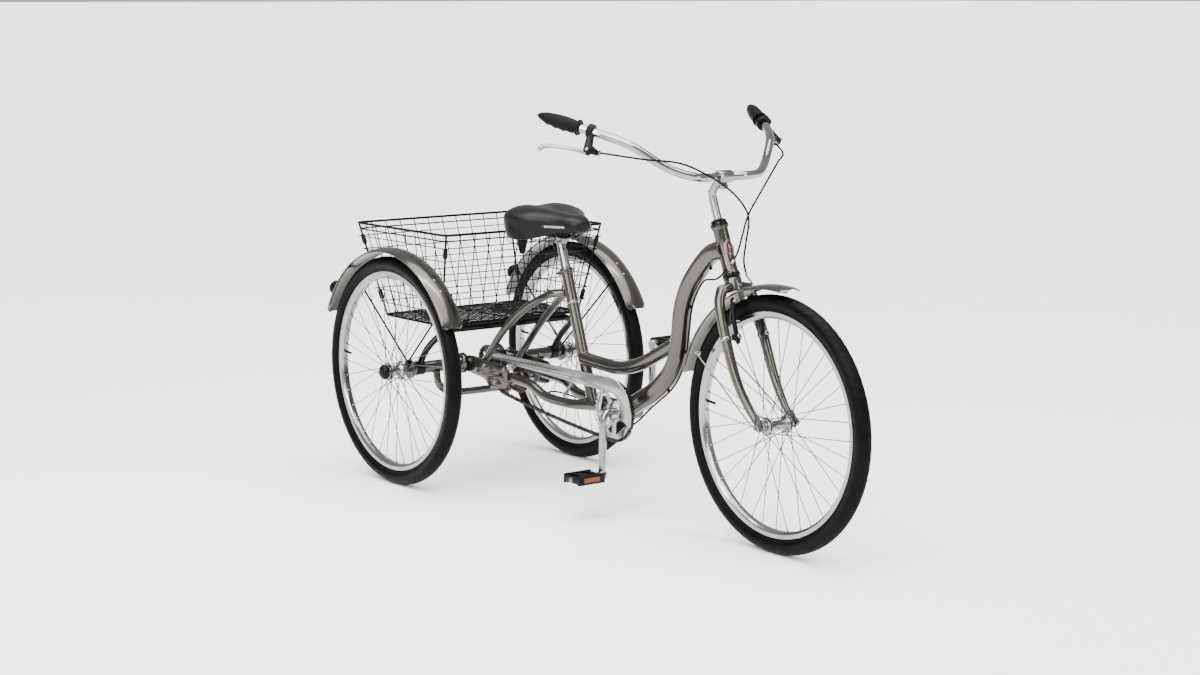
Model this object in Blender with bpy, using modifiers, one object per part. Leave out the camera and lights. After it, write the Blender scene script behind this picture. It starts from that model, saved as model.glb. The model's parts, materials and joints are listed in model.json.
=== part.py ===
"""Adult tricycle with a rear wire basket, built as separate pieces in one shared frame.

+X points forward, +Y to the rider's left, +Z up. The origin lies on the ground under the middle of the
tricycle's length. All lengths are in metres and all angles in degrees unless a name says otherwise.
"""

import math

import bmesh
import bpy
from mathutils import Matrix, Vector

# ---------------------------------------------------------------- driving dimensions
GAP = 0.0003  # left between two pieces that touch
WELD = 0.00001  # points closer than this are one point

WHEEL_BASE = 1.27
HALF_TRACK = 0.320

RIM_RADIUS = 0.2855
RIM_DEPTH = 0.018
RIM_HALF_WIDTH = 0.0135
TYRE_SECTION_RADIUS = 0.0214
TYRE_RISE = 0.0208  # from the rim's edge to the middle of the tyre's section
WHEEL_STEPS = 36
SPOKE_COUNT = 36
SPOKE_RADIUS = 0.0011

HEAD_ANGLE = 68.5
FORK_RAKE = 0.033
HEAD_BOTTOM = 0.402  # distances along the steering axis, from the point nearest the front axle
HEAD_TOP = 0.526
CUP_HEIGHT = 0.010
CUP_RADIUS = 0.0235
HEAD_RADIUS = 0.0195
STEERER_RADIUS = 0.0127
QUILL_RADIUS = 0.0110
CROWN_HEIGHT = 0.366
BLADE_RADIUS = 0.0145

BRACKET_FORWARD_OF_REAR_AXLE = 0.670
BRACKET_BELOW_AXLE = 0.0487
SHELL_RADIUS = 0.0290
SHELL_HALF_LENGTH = 0.034
MAIN_TUBE_RADIUS = 0.0255
LOWER_TUBE_RADIUS = 0.0185
SEAT_TUBE_RADIUS = 0.0160
SEAT_TUBE_ANGLE = 71.0
SEAT_TUBE_SETBACK = 0.156
SEAT_TUBE_LENGTH = 0.378
SEAT_POST_RADIUS = 0.0135
SEAT_POST_TOP = 0.452
SEAT_POST_DEPTH = 0.250
CHAIN_STAY_RADIUS = 0.0135
SEAT_STAY_RADIUS = 0.0105

PLATE_OFFSET = 0.075
PLATE_THICKNESS = 0.006
HOUSING_RADIUS = 0.0175
HOUSING_END = 0.272
AXLE_RADIUS = 0.0075
AXLE_CAP_REACH = 0.367  # from the middle to each end cap of the rear axle
REAR_HUB_REACH = 0.026  # from a rear wheel's middle to each end of its hub

CHAIN_PITCH = 0.0127
CHAIN_HALF_HEIGHT = 0.0040
CHAINRING_TEETH = 40
HUB_TEETH = 18
AXLE_TEETH = 20
CHAIN_LINE = -0.047
AXLE_CHAIN_LINE = 0.004
MID_HUB_FORWARD = 0.160
MID_HUB_BELOW = 0.0357
CRANK_LENGTH = 0.170
CRANK_RADIUS = 0.0095
PEDAL_LENGTH = 0.090
PEDAL_WIDTH = 0.070
PEDAL_HEIGHT = 0.026

FENDER_RADIUS = 0.353
FENDER_HALF_WIDTH = 0.034
FENDER_CROWN = 0.010
FENDER_SHEET = 0.0016

BASKET_TOP_REAR = 0.270  # behind the rear axle
BASKET_TOP_FRONT = 0.203  # ahead of the rear axle
BASKET_TOP_HALF_WIDTH = 0.275
BASKET_TOP_HEIGHT = 0.730
BASKET_FLOOR_REAR = 0.168
BASKET_FLOOR_FRONT = 0.133
BASKET_FLOOR_HALF_WIDTH = 0.245
BASKET_FLOOR_HEIGHT = 0.462
BASKET_WALL = 0.005
RACK_RADIUS = 0.0095

BAR_RADIUS = 0.0111
GRIP_RADIUS = 0.0165
LEVER_CLAMP_REACH = 0.033  # from the grip's inner end to a lever clamp's middle
CABLE_RADIUS = 0.0026

# ---------------------------------------------------------------- places worked out from them
TYRE_RADIUS = RIM_RADIUS + TYRE_RISE + TYRE_SECTION_RADIUS
AXLE_Z = TYRE_RADIUS
FRONT_AXLE_X = WHEEL_BASE / 2
REAR_AXLE_X = -WHEEL_BASE / 2
FRONT_AXLE = Vector((FRONT_AXLE_X, 0, AXLE_Z))
REAR_AXLE = Vector((REAR_AXLE_X, 0, AXLE_Z))
BRACKET = REAR_AXLE + Vector((BRACKET_FORWARD_OF_REAR_AXLE, 0, -BRACKET_BELOW_AXLE))
MID_HUB = REAR_AXLE + Vector((MID_HUB_FORWARD, 0, -MID_HUB_BELOW))
STEER_UP = Vector((-math.cos(math.radians(HEAD_ANGLE)), 0, math.sin(math.radians(HEAD_ANGLE))))
STEER_FORWARD = Vector((STEER_UP.z, 0, -STEER_UP.x))
STEER_FOOT = FRONT_AXLE - FORK_RAKE * STEER_FORWARD
SEAT_UP = Vector((-math.cos(math.radians(SEAT_TUBE_ANGLE)), 0, math.sin(math.radians(SEAT_TUBE_ANGLE))))
SEAT_FOOT = BRACKET - Vector((SEAT_TUBE_SETBACK, 0, 0))
HEAD_JOINT_RISE = 0.065  # from the head tube's bottom up to where the main tube meets it
ACROSS = Vector((0, 1, 0))
SIDES = {"right": -1, "left": 1}


def on_steering(up, forward=0.0, across=0.0):
    """Return the point that lies so far up and ahead of the steering axis."""
    return STEER_FOOT + up * STEER_UP + forward * STEER_FORWARD + across * ACROSS


def on_seat_tube(up, forward=0.0, across=0.0):
    """Return the point that lies so far up and ahead of the seat tube's axis."""
    ahead = Vector((SEAT_UP.z, 0, -SEAT_UP.x))
    return SEAT_FOOT + up * SEAT_UP + forward * ahead + across * ACROSS


def pitch_radius(teeth):
    """Return the radius of the circle that a chain's pins follow on a sprocket."""
    return CHAIN_PITCH / (2 * math.sin(math.pi / teeth))


# ---------------------------------------------------------------- scene, materials, shape helpers
for old in list(bpy.data.objects):
    bpy.data.objects.remove(old, do_unlink=True)
PARTS = bpy.data.collections.new("adult_tricycle")
bpy.context.scene.collection.children.link(PARTS)


def material(name, colour, roughness, metallic):
    """Make a plain Principled material."""
    made = bpy.data.materials.new(name)
    made.use_nodes = True
    shader = made.node_tree.nodes["Principled BSDF"]
    shader.inputs["Base Color"].default_value = (*colour, 1)
    shader.inputs["Roughness"].default_value = roughness
    shader.inputs["Metallic"].default_value = metallic
    return made


PAINT = (0.22, 0.20, 0.17)
SILVER = (0.80, 0.80, 0.82)
FINISHES = {
    "paint": (PAINT, 0.32, 0.6),
    "chrome": (SILVER, 0.12, 1.0),
    "alloy": ((0.72, 0.72, 0.74), 0.35, 1.0),
    "rubber": ((0.03, 0.03, 0.03), 0.75, 0.0),
    "plastic": ((0.04, 0.04, 0.045), 0.45, 0.0),
    "saddle": ((0.05, 0.05, 0.055), 0.45, 0.0),
    "wire": ((0.02, 0.02, 0.02), 0.40, 0.3),
    "chain": ((0.12, 0.10, 0.08), 0.45, 0.9),
    "brass": ((0.30, 0.17, 0.08), 0.45, 0.9),
    "reflector": ((0.50, 0.05, 0.04), 0.20, 0.0),
    "guard": ((0.86, 0.86, 0.88), 0.22, 0.7),
}


def add(name, mesh, finish):
    """Put a mesh in the tricycle's collection under its own name and with a material of its own."""
    obj = bpy.data.objects.new(name, mesh)
    mesh.materials.clear()
    mesh.materials.append(material(name + "_finish", *FINISHES[finish]))
    PARTS.objects.link(obj)
    mesh.shade_smooth()
    mesh.set_sharp_from_angle(angle=math.radians(35))
    return obj


def closed_mesh(mesh):
    """Weld a mesh's loose caps and turn all its faces outwards."""
    shape = bmesh.new()
    shape.from_mesh(mesh)
    bmesh.ops.remove_doubles(shape, verts=shape.verts, dist=WELD)
    bmesh.ops.recalc_face_normals(shape, faces=shape.faces)
    if shape.calc_volume(signed=True) < 0:
        bmesh.ops.reverse_faces(shape, faces=shape.faces)
    shape.to_mesh(mesh)
    shape.free()
    return mesh


def evaluated(obj):
    """Return an object's mesh as its curve settings or modifiers leave it, and remove the object."""
    bpy.context.view_layer.update()
    graph = bpy.context.evaluated_depsgraph_get()
    mesh = bpy.data.meshes.new_from_object(obj.evaluated_get(graph))
    mesh.transform(obj.matrix_world)
    bpy.data.objects.remove(obj, do_unlink=True)
    return closed_mesh(mesh)


def loose(name, data):
    """Link a helper object that a shape is being worked out from."""
    obj = bpy.data.objects.new(name, data)
    bpy.context.scene.collection.objects.link(obj)
    return obj


def smooth(points, steps=4, closed=False):
    """Return points along a Catmull-Rom curve through the given ones, with so many steps a span."""
    count = len(points)
    spans = count if closed else count - 1

    def at(index):
        if closed:
            return Vector(points[index % count])
        if index < 0:
            return 2 * Vector(points[0]) - Vector(points[1])
        if index >= count:
            return 2 * Vector(points[-1]) - Vector(points[-2])
        return Vector(points[index])

    found = []
    for span in range(spans):
        a, b, c, d = (at(span + offset) for offset in (-1, 0, 1, 2))
        for step in range(steps):
            t = step / steps
            found.append(
                0.5 * (2 * b + (c - a) * t + (2 * a - 5 * b + 4 * c - d) * t**2 + (3 * b - a - 3 * c + d) * t**3)
            )
    if not closed:
        found.append(Vector(points[-1]))
    return found


def tube_mesh(points, radius, rounds=3, closed=False, scales=None):
    """Return the mesh of a round bar along the points, with 4 + 2 * rounds sides."""
    curve = bpy.data.curves.new("bar", "CURVE")
    curve.dimensions = "3D"
    curve.bevel_depth = radius
    curve.bevel_resolution = rounds
    curve.use_fill_caps = not closed
    spline = curve.splines.new("POLY")
    spline.points.add(len(points) - 1)
    for index, point in enumerate(points):
        spline.points[index].co = (*point, 1)
        spline.points[index].radius = scales[index] if scales else 1
    spline.use_cyclic_u = closed
    return evaluated(loose("bar", curve))


def frame_to(origin, up, across=ACROSS):
    """Return the matrix that puts local Z along up, local Y along across and the local origin at origin."""
    up = Vector(up).normalized()
    ahead = Vector(across).cross(up).normalized()
    side = up.cross(ahead)
    turn = Matrix((ahead, side, up)).transposed()
    return Matrix.Translation(origin) @ turn.to_4x4()


def turned_mesh(profile, place, steps=24, sweep=360.0, ring=False):
    """Return the mesh that a profile of (radius, height) points makes when it turns about the local Z."""
    mesh = bpy.data.meshes.new("turned")
    edges = [(index, index + 1) for index in range(len(profile) - 1)]
    if ring:
        edges.append((len(profile) - 1, 0))
    mesh.from_pydata([(radius, 0, height) for radius, height in profile], edges, [])
    obj = loose("turned", mesh)
    screw = obj.modifiers.new("turn", "SCREW")
    screw.axis = "Z"
    screw.angle = math.radians(sweep)
    screw.steps = steps
    screw.render_steps = steps
    screw.use_merge_vertices = True
    screw.merge_threshold = WELD
    made = evaluated(obj)
    made.transform(place)
    return made


def plate_mesh(outline, thickness, place, holes=(), bevel=0.0):
    """Return a flat plate with the outline in the local XY plane; holes are (x, y, radius)."""
    curve = bpy.data.curves.new("plate", "CURVE")
    curve.dimensions = "2D"
    curve.fill_mode = "BOTH"
    curve.extrude = thickness / 2
    curve.bevel_depth = bevel
    loops = [outline]
    for x, y, radius in holes:
        loops.append([(x + radius * math.cos(a), y + radius * math.sin(a)) for a in turns(16)])
    for loop in loops:
        spline = curve.splines.new("POLY")
        spline.points.add(len(loop) - 1)
        for index, (x, y) in enumerate(loop):
            spline.points[index].co = (x, y, 0, 1)
        spline.use_cyclic_u = True
    mesh = evaluated(loose("plate", curve))
    mesh.transform(place)
    return mesh


def turns(count, start=0.0):
    """Return so many angles, in radians, spread evenly round a circle."""
    return [start + 2 * math.pi * index / count for index in range(count)]


def block_mesh(size, place, bevel=0.0):
    """Return a box of the given size about the place's origin."""
    shape = bmesh.new()
    bmesh.ops.create_cube(shape, size=1.0, matrix=Matrix.Diagonal((*size, 1)))
    if bevel:
        bmesh.ops.bevel(shape, geom=shape.edges[:], offset=bevel, segments=2, affect="EDGES", profile=0.5)
    mesh = bpy.data.meshes.new("block")
    shape.to_mesh(mesh)
    shape.free()
    mesh.transform(place)
    return closed_mesh(mesh)


def combined(mesh, others, operation):
    """Return a mesh after a Boolean with each of the others in turn."""
    body = loose("body", mesh)
    tools = []
    for other in others:
        tool = loose("tool", other)
        tool.hide_render = True
        tool.display_type = "WIRE"
        tools.append(tool)
        cut = body.modifiers.new(operation.lower(), "BOOLEAN")
        cut.operation = operation
        cut.solver = "EXACT"
        cut.object = tool
    made = evaluated(body)
    for tool in tools:
        bpy.data.objects.remove(tool, do_unlink=True)
    return made


def joined(mesh, *others):
    """Return the union of the meshes."""
    return combined(mesh, others, "UNION")


def cutter(start, end, radius, rounds=8):
    """Return a round cutter that leaves a gap all round a bar of this radius, flats and all."""
    sides = 4 + 2 * rounds
    return tube_mesh([start, end], radius / math.cos(math.pi / sides) + GAP, rounds)


def cut_away(mesh, *others):
    """Return the mesh without the others."""
    return combined(mesh, others, "DIFFERENCE")


def empty(name, location, up=(0, 0, 1), parent=None):
    """Add an empty on a joint's axis."""
    obj = bpy.data.objects.new(name, None)
    obj.empty_display_size = 0.05
    PARTS.objects.link(obj)
    obj.matrix_world = frame_to(location, up)
    bpy.context.view_layer.update()
    if parent:
        place = obj.matrix_world.copy()
        obj.parent = parent
        obj.matrix_world = place
        bpy.context.view_layer.update()
    return obj


def hang(obj, holder):
    """Parent a piece to the empty on its joint, and take its mesh into the empty's own frame."""
    obj.data.transform(holder.matrix_world.inverted())
    obj.parent = holder
    return obj


# ---------------------------------------------------------------- joints' empties
UP = Vector((0, 0, 1))
STEERING = empty("steering_axis", STEER_FOOT, STEER_UP)
FRONT_WHEEL = empty("front_wheel_axis", FRONT_AXLE, UP, STEERING)
DRIVE_WHEEL = empty("drive_wheel_axis", REAR_AXLE, UP)
FREE_WHEEL = empty("free_wheel_axis", REAR_AXLE - HALF_TRACK * ACROSS, UP)
CRANK_AXIS = empty("crank_axis", BRACKET, UP)
MID_AXIS = empty("mid_hub_axis", MID_HUB, UP)
SEAT_SLIDE = empty("seat_post_axis", SEAT_FOOT, SEAT_UP)


# ---------------------------------------------------------------- frame
def head_point():
    """Return where the main tube's axis meets the steering axis."""
    return on_steering(HEAD_BOTTOM + HEAD_JOINT_RISE)


def between(start, end, along, up):
    """Return the point at these shares of the way from start to end, in X and in Z."""
    return Vector((start.x + along * (end.x - start.x), 0, start.z + up * (end.z - start.z)))


def main_tube_path():
    """Return the points of the swept main tube, from the bottom bracket up to the head."""
    shares = ((0.0, 0.0), (0.144, 0.069), (0.297, 0.143), (0.433, 0.238), (0.510, 0.328), (0.545, 0.413))
    shares += ((0.562, 0.518), (0.582, 0.634), (0.636, 0.752), (0.725, 0.853), (0.861, 0.962), (1.0, 1.0))
    return smooth([between(BRACKET, head_point(), *share) for share in shares], 2)


def lower_tube_path():
    """Return the points of the bowed lower tube, from the seat tube to the main tube."""
    start, end = on_seat_tube(0.122), between(BRACKET, head_point(), 0.55, 0.45)
    shares = ((0.0, 0.0), (0.175, -0.05), (0.39, -0.066), (0.60, 0.16), (0.824, 0.617), (1.0, 1.0))
    return smooth([between(start, end, *share) for share in shares], 2)


def chain_stay_path():
    """Return the hairpin of the two chain stays: plate, bend, behind the bracket shell and back."""
    tail = Vector((MID_HUB.x + 0.040, PLATE_OFFSET - PLATE_THICKNESS / 2 - CHAIN_STAY_RADIUS - GAP, 0))
    tail.z = MID_HUB.z + 0.018
    half = (
        tail,
        Vector((tail.x + 0.100, tail.y, tail.z - 0.008)),
        Vector((tail.x + 0.172, tail.y - 0.003, BRACKET.z - 0.002)),
        Vector((BRACKET.x - 0.200, tail.y - 0.008, BRACKET.z - 0.007)),
        Vector((BRACKET.x - 0.110, 0.038, BRACKET.z - 0.002)),
        Vector((BRACKET.x - 0.060, 0.022, BRACKET.z)),
        Vector((BRACKET.x - SHELL_RADIUS - CHAIN_STAY_RADIUS + 0.004, 0, BRACKET.z)),
    )
    mirrored = [Vector((p.x, -p.y, p.z)) for p in half[:-1]]
    return smooth(mirrored + list(half)[::-1], 2)


def seat_stay_path():
    """Return the hairpin of the two seat stays, from one plate up behind the seat tube and back."""
    top = on_seat_tube(0.312, -SEAT_TUBE_RADIUS - SEAT_STAY_RADIUS + 0.003)
    foot = Vector((REAR_AXLE.x + 0.080, PLATE_OFFSET - PLATE_THICKNESS / 2 - SEAT_STAY_RADIUS - GAP, AXLE_Z + 0.012))
    half = (
        foot,
        between(foot, top, 0.28, 0.42) + Vector((0, foot.y, 0)),
        between(foot, top, 0.58, 0.75) + Vector((0, 0.052, 0)),
        between(foot, top, 0.86, 0.965) + Vector((0, 0.032, 0)),
        between(foot, top, 0.97, 0.995) + Vector((0, 0.015, 0)),
        top,
    )
    mirrored = [Vector((p.x, -p.y, p.z)) for p in half[:-1]]
    return smooth(mirrored + list(half)[::-1], 2)


def build_head_tube():
    """Make the head tube with its two bearing cups."""
    bore = STEERER_RADIUS + GAP
    low, high = HEAD_BOTTOM - CUP_HEIGHT, HEAD_TOP + CUP_HEIGHT
    profile = [
        (bore, low), (CUP_RADIUS, low), (CUP_RADIUS, HEAD_BOTTOM), (HEAD_RADIUS, HEAD_BOTTOM + 0.002),
        (HEAD_RADIUS, HEAD_TOP - 0.002), (CUP_RADIUS, HEAD_TOP), (CUP_RADIUS, high), (bore, high),
    ]
    add("head_tube", turned_mesh(profile, frame_to(STEER_FOOT, STEER_UP), 20, ring=True), "paint")


def build_frame():
    """Make the welded tubes of the frame, each coped to the tube that it meets."""
    head_cutter = cutter(on_steering(HEAD_BOTTOM - 0.05), on_steering(HEAD_TOP + 0.05), HEAD_RADIUS)
    shell_cutter = cutter(BRACKET - 0.08 * ACROSS, BRACKET + 0.08 * ACROSS, SHELL_RADIUS)
    main = tube_mesh(main_tube_path(), MAIN_TUBE_RADIUS, 4)
    add("main_tube", cut_away(main, head_cutter, shell_cutter.copy()), "paint")

    seat_top = on_seat_tube(SEAT_TUBE_LENGTH)
    collar = 0.016
    bore = SEAT_POST_RADIUS + GAP
    floor = SEAT_POST_DEPTH
    profile = [
        (0, 0), (SEAT_TUBE_RADIUS, 0), (SEAT_TUBE_RADIUS, SEAT_TUBE_LENGTH - collar),
        (SEAT_TUBE_RADIUS + 0.003, SEAT_TUBE_LENGTH - collar), (SEAT_TUBE_RADIUS + 0.003, SEAT_TUBE_LENGTH),
        (bore, SEAT_TUBE_LENGTH), (bore, SEAT_TUBE_LENGTH - floor), (0, SEAT_TUBE_LENGTH - floor),
    ]
    seat = turned_mesh(profile, frame_to(SEAT_FOOT, SEAT_UP), 20)
    stays = tube_mesh(chain_stay_path(), CHAIN_STAY_RADIUS, 3)
    bridge_half = 0.048
    bridge = tube_mesh([SEAT_FOOT - bridge_half * ACROSS, SEAT_FOOT + bridge_half * ACROSS], 0.011, 3)
    stays = joined(stays, bridge)
    bridge_cutter = cutter(SEAT_FOOT - 0.06 * ACROSS, SEAT_FOOT + 0.06 * ACROSS, 0.011)
    add("seat_tube", cut_away(seat, bridge_cutter), "paint")
    add("chain_stays", cut_away(stays, shell_cutter.copy()), "paint")

    seat_cutter = cutter(SEAT_FOOT, seat_top, SEAT_TUBE_RADIUS)
    main_cutter = tube_mesh(main_tube_path(), MAIN_TUBE_RADIUS + 2 * GAP, 4)
    lower = tube_mesh(lower_tube_path(), LOWER_TUBE_RADIUS, 4)
    add("lower_tube", cut_away(lower, seat_cutter, main_cutter), "paint")
    stays = tube_mesh(seat_stay_path(), SEAT_STAY_RADIUS, 3)
    add("seat_stays", cut_away(stays, seat_cutter.copy()), "paint")

    bore = CRANK_RADIUS + 0.003
    ends = ((bore, -SHELL_HALF_LENGTH), (SHELL_RADIUS, -SHELL_HALF_LENGTH))
    profile = [*ends, *[(radius, -height) for radius, height in reversed(ends)]]
    add("bottom_bracket_shell", turned_mesh(profile, frame_to(BRACKET, ACROSS, UP), 24, ring=True), "paint")


def build_axle_carrier():
    """Make the plates, axle housings, lower cross tube and basket rack that carry the rear axle."""
    outline = [(-0.030, -0.019), (0.098, -0.034), (0.130, -0.058), (0.205, -0.050), (0.214, -0.036), (0.214, 0.002)]
    outline += [(0.205, 0.014), (0.035, 0.025), (-0.028, 0.018)]
    upright = Matrix.Rotation(math.radians(90), 4, "X")
    hub_hole = (MID_HUB_FORWARD, -MID_HUB_BELOW, 0.0055)
    for side, sign in SIDES.items():
        place = Matrix.Translation(REAR_AXLE + sign * PLATE_OFFSET * ACROSS) @ upright
        holes = [(0, 0, AXLE_RADIUS + 0.001), hub_hole]
        mesh = plate_mesh(outline, PLATE_THICKNESS, place, holes)
        add(f"axle_plate_{side}", mesh, "paint")

        start = PLATE_OFFSET + PLATE_THICKNESS / 2 + GAP
        bore = AXLE_RADIUS + 0.001
        profile = [
            (bore, start), (0.026, start), (0.026, start + 0.016), (HOUSING_RADIUS, start + 0.018),
            (HOUSING_RADIUS, HOUSING_END - 0.006), (0.030, HOUSING_END - 0.006), (0.030, HOUSING_END), (bore, HOUSING_END),
        ]
        place = frame_to(REAR_AXLE, sign * ACROSS, UP)
        add(f"axle_housing_{side}", turned_mesh(profile, place, 16, ring=True), "paint")

    reach, drop = 0.185, 0.078
    half = (
        REAR_AXLE + Vector((0.012, reach, -HOUSING_RADIUS - GAP - 0.002)),
        REAR_AXLE + Vector((0.020, reach - 0.004, -0.052)),
        REAR_AXLE + Vector((0.030, reach - 0.035, -drop + 0.004)),
        REAR_AXLE + Vector((0.036, 0.090, -drop)),
    )
    mirrored = [Vector((p.x, -p.y, p.z)) for p in half]
    path = smooth(mirrored + list(half)[::-1], 2)
    housing_cutter = cutter(REAR_AXLE - 0.3 * ACROSS, REAR_AXLE + 0.3 * ACROSS, HOUSING_RADIUS)
    add("lower_cross_tube", cut_away(tube_mesh(path, 0.0105, 3), housing_cutter), "paint")

    level = BASKET_FLOOR_HEIGHT - RACK_RADIUS - GAP
    half = (
        REAR_AXLE + Vector((0.008, 0.238, HOUSING_RADIUS - 0.003)),
        REAR_AXLE + Vector((0.045, 0.238, 0.060)),
        Vector((REAR_AXLE.x + 0.098, 0.232, level - 0.022)),
        Vector((REAR_AXLE.x + 0.116, 0.205, level - 0.004)),
        Vector((REAR_AXLE.x + 0.120, 0.165, level - 0.002)),
        Vector((REAR_AXLE.x + 0.120, 0.060, level - 0.002)),
    )
    mirrored = [Vector((p.x, -p.y, p.z)) for p in half]
    hoop = tube_mesh(smooth(mirrored + list(half)[::-1], 2), RACK_RADIUS, 2)
    rails = []
    for sign in SIDES.values():
        ends = [Vector((REAR_AXLE.x + x, sign * 0.125, level)) for x in (0.112, -0.150)]
        rails.append(tube_mesh(ends, RACK_RADIUS * 0.8, 2))
    rack = cut_away(joined(hoop, *rails), housing_cutter.copy())
    add("basket_rack", rack, "paint")


def build_basket():
    """Make the open basket as one thin tapered shell."""
    rear, front = REAR_AXLE.x - BASKET_TOP_REAR, REAR_AXLE.x + BASKET_TOP_FRONT
    low_rear, low_front = REAR_AXLE.x - BASKET_FLOOR_REAR, REAR_AXLE.x + BASKET_FLOOR_FRONT
    shape = bmesh.new()
    bmesh.ops.create_cube(shape, size=1.0)
    lid = [face for face in shape.faces if face.normal.z > 0.5]
    bmesh.ops.delete(shape, geom=lid, context="FACES_ONLY")
    for vert in shape.verts:
        top, ahead, side = vert.co.z > 0, vert.co.x > 0, 1 if vert.co.y > 0 else -1
        if top:
            vert.co = (front if ahead else rear, side * BASKET_TOP_HALF_WIDTH, BASKET_TOP_HEIGHT)
        else:
            vert.co = (low_front if ahead else low_rear, side * BASKET_FLOOR_HALF_WIDTH, BASKET_FLOOR_HEIGHT)
    mesh = bpy.data.meshes.new("basket")
    shape.to_mesh(mesh)
    shape.free()
    obj = loose("basket_shell", mesh)
    wall = obj.modifiers.new("wall", "SOLIDIFY")
    wall.thickness = BASKET_WALL
    wall.offset = -1
    wall.use_even_offset = True
    mesh = evaluated(obj)
    add("basket", mesh, "wire")


def arc_sheet(centre, start, end, steps):
    """Return a fender's sheet: a crowned strip swept round an axle between two angles from forward."""
    count = 4
    strip = []
    for index in range(count + 1):
        across = 1 - 2 * index / count
        strip.append((FENDER_RADIUS - FENDER_CROWN * across**2, 0, across * FENDER_HALF_WIDTH))
    mesh = bpy.data.meshes.new("strip")
    mesh.from_pydata(strip, [(index, index + 1) for index in range(count)], [])
    obj = loose("sheet", mesh)
    screw = obj.modifiers.new("sweep", "SCREW")
    screw.axis = "Z"
    screw.angle = math.radians(end - start)
    screw.steps = steps
    screw.render_steps = steps
    sheet = obj.modifiers.new("thickness", "SOLIDIFY")
    sheet.thickness = FENDER_SHEET
    sheet.offset = -1 if start < end else 1
    made = evaluated(obj)
    # The profile starts at the sweep's own zero, so it turns to the fender's first angle before it is set upright.
    upright = Matrix.Rotation(math.radians(90), 4, "X")
    made.transform(Matrix.Translation(centre) @ upright @ Matrix.Rotation(math.radians(start), 4, "Z"))
    return closed_mesh(made)


def build_fenders():
    """Make the two rear fenders with their stays and reflectors."""
    start, end = 27.0, 157.0
    reflector_angle = math.radians(146.5)
    for side, sign in SIDES.items():
        centre = REAR_AXLE + sign * HALF_TRACK * ACROSS
        add(f"fender_{side}", arc_sheet(centre, start, end, 20), "paint")
        line = HALF_TRACK - FENDER_HALF_WIDTH - 0.003 - GAP
        foot = REAR_AXLE + Vector((0.0, sign * (HOUSING_END + 0.0035), 0.022))
        reach = FENDER_RADIUS - FENDER_CROWN - 0.006
        tips = [
            REAR_AXLE + Vector((reach * math.cos(a), sign * line, reach * math.sin(a)))
            for a in (math.radians(45), math.radians(137))
        ]
        path = [tips[0], foot + Vector((0.014, 0, 0.010)), foot, foot + Vector((-0.014, 0, 0.010)), tips[1]]
        add(f"fender_stay_{side}", tube_mesh(path, 0.003, 2), "wire")
        outwards = Vector((math.cos(reflector_angle), 0, math.sin(reflector_angle)))
        seat = centre + (FENDER_RADIUS + GAP) * outwards
        facing = Vector((-1, 0, 0.25)).normalized()
        stem_end = seat + 0.010 * outwards
        profile = [(0, -0.004), (0.019, -0.004), (0.021, 0.0), (0.021, 0.008), (0.018, 0.011), (0, 0.011)]
        lens = turned_mesh(profile, frame_to(stem_end + 0.010 * outwards, facing), 20)
        post = tube_mesh([seat + 0.0006 * outwards, stem_end + 0.010 * outwards], 0.0045, 3)
        add(f"reflector_{side}", joined(lens, post), "reflector")


# ---------------------------------------------------------------- wheels
def tyre_profile():
    """Return the tyre's section as (radius, across) points, flat where it sits on the rim."""
    middle = RIM_RADIUS + TYRE_RISE
    points = []
    for index in range(9):
        angle = math.radians(-112 + 224 * index / 8)
        points.append((middle + TYRE_SECTION_RADIUS * math.cos(angle), TYRE_SECTION_RADIUS * math.sin(angle)))
    seat = RIM_RADIUS + GAP
    return points + [(seat, RIM_HALF_WIDTH - 0.001), (seat, -RIM_HALF_WIDTH + 0.001)]


def rim_profile():
    """Return the rim's section as (radius, across) points."""
    inner = RIM_RADIUS - RIM_DEPTH
    half = [(RIM_RADIUS, RIM_HALF_WIDTH), (RIM_RADIUS - 0.011, RIM_HALF_WIDTH), (inner, RIM_HALF_WIDTH * 0.55)]
    return half + [(radius, -across) for radius, across in reversed(half)]


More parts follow.
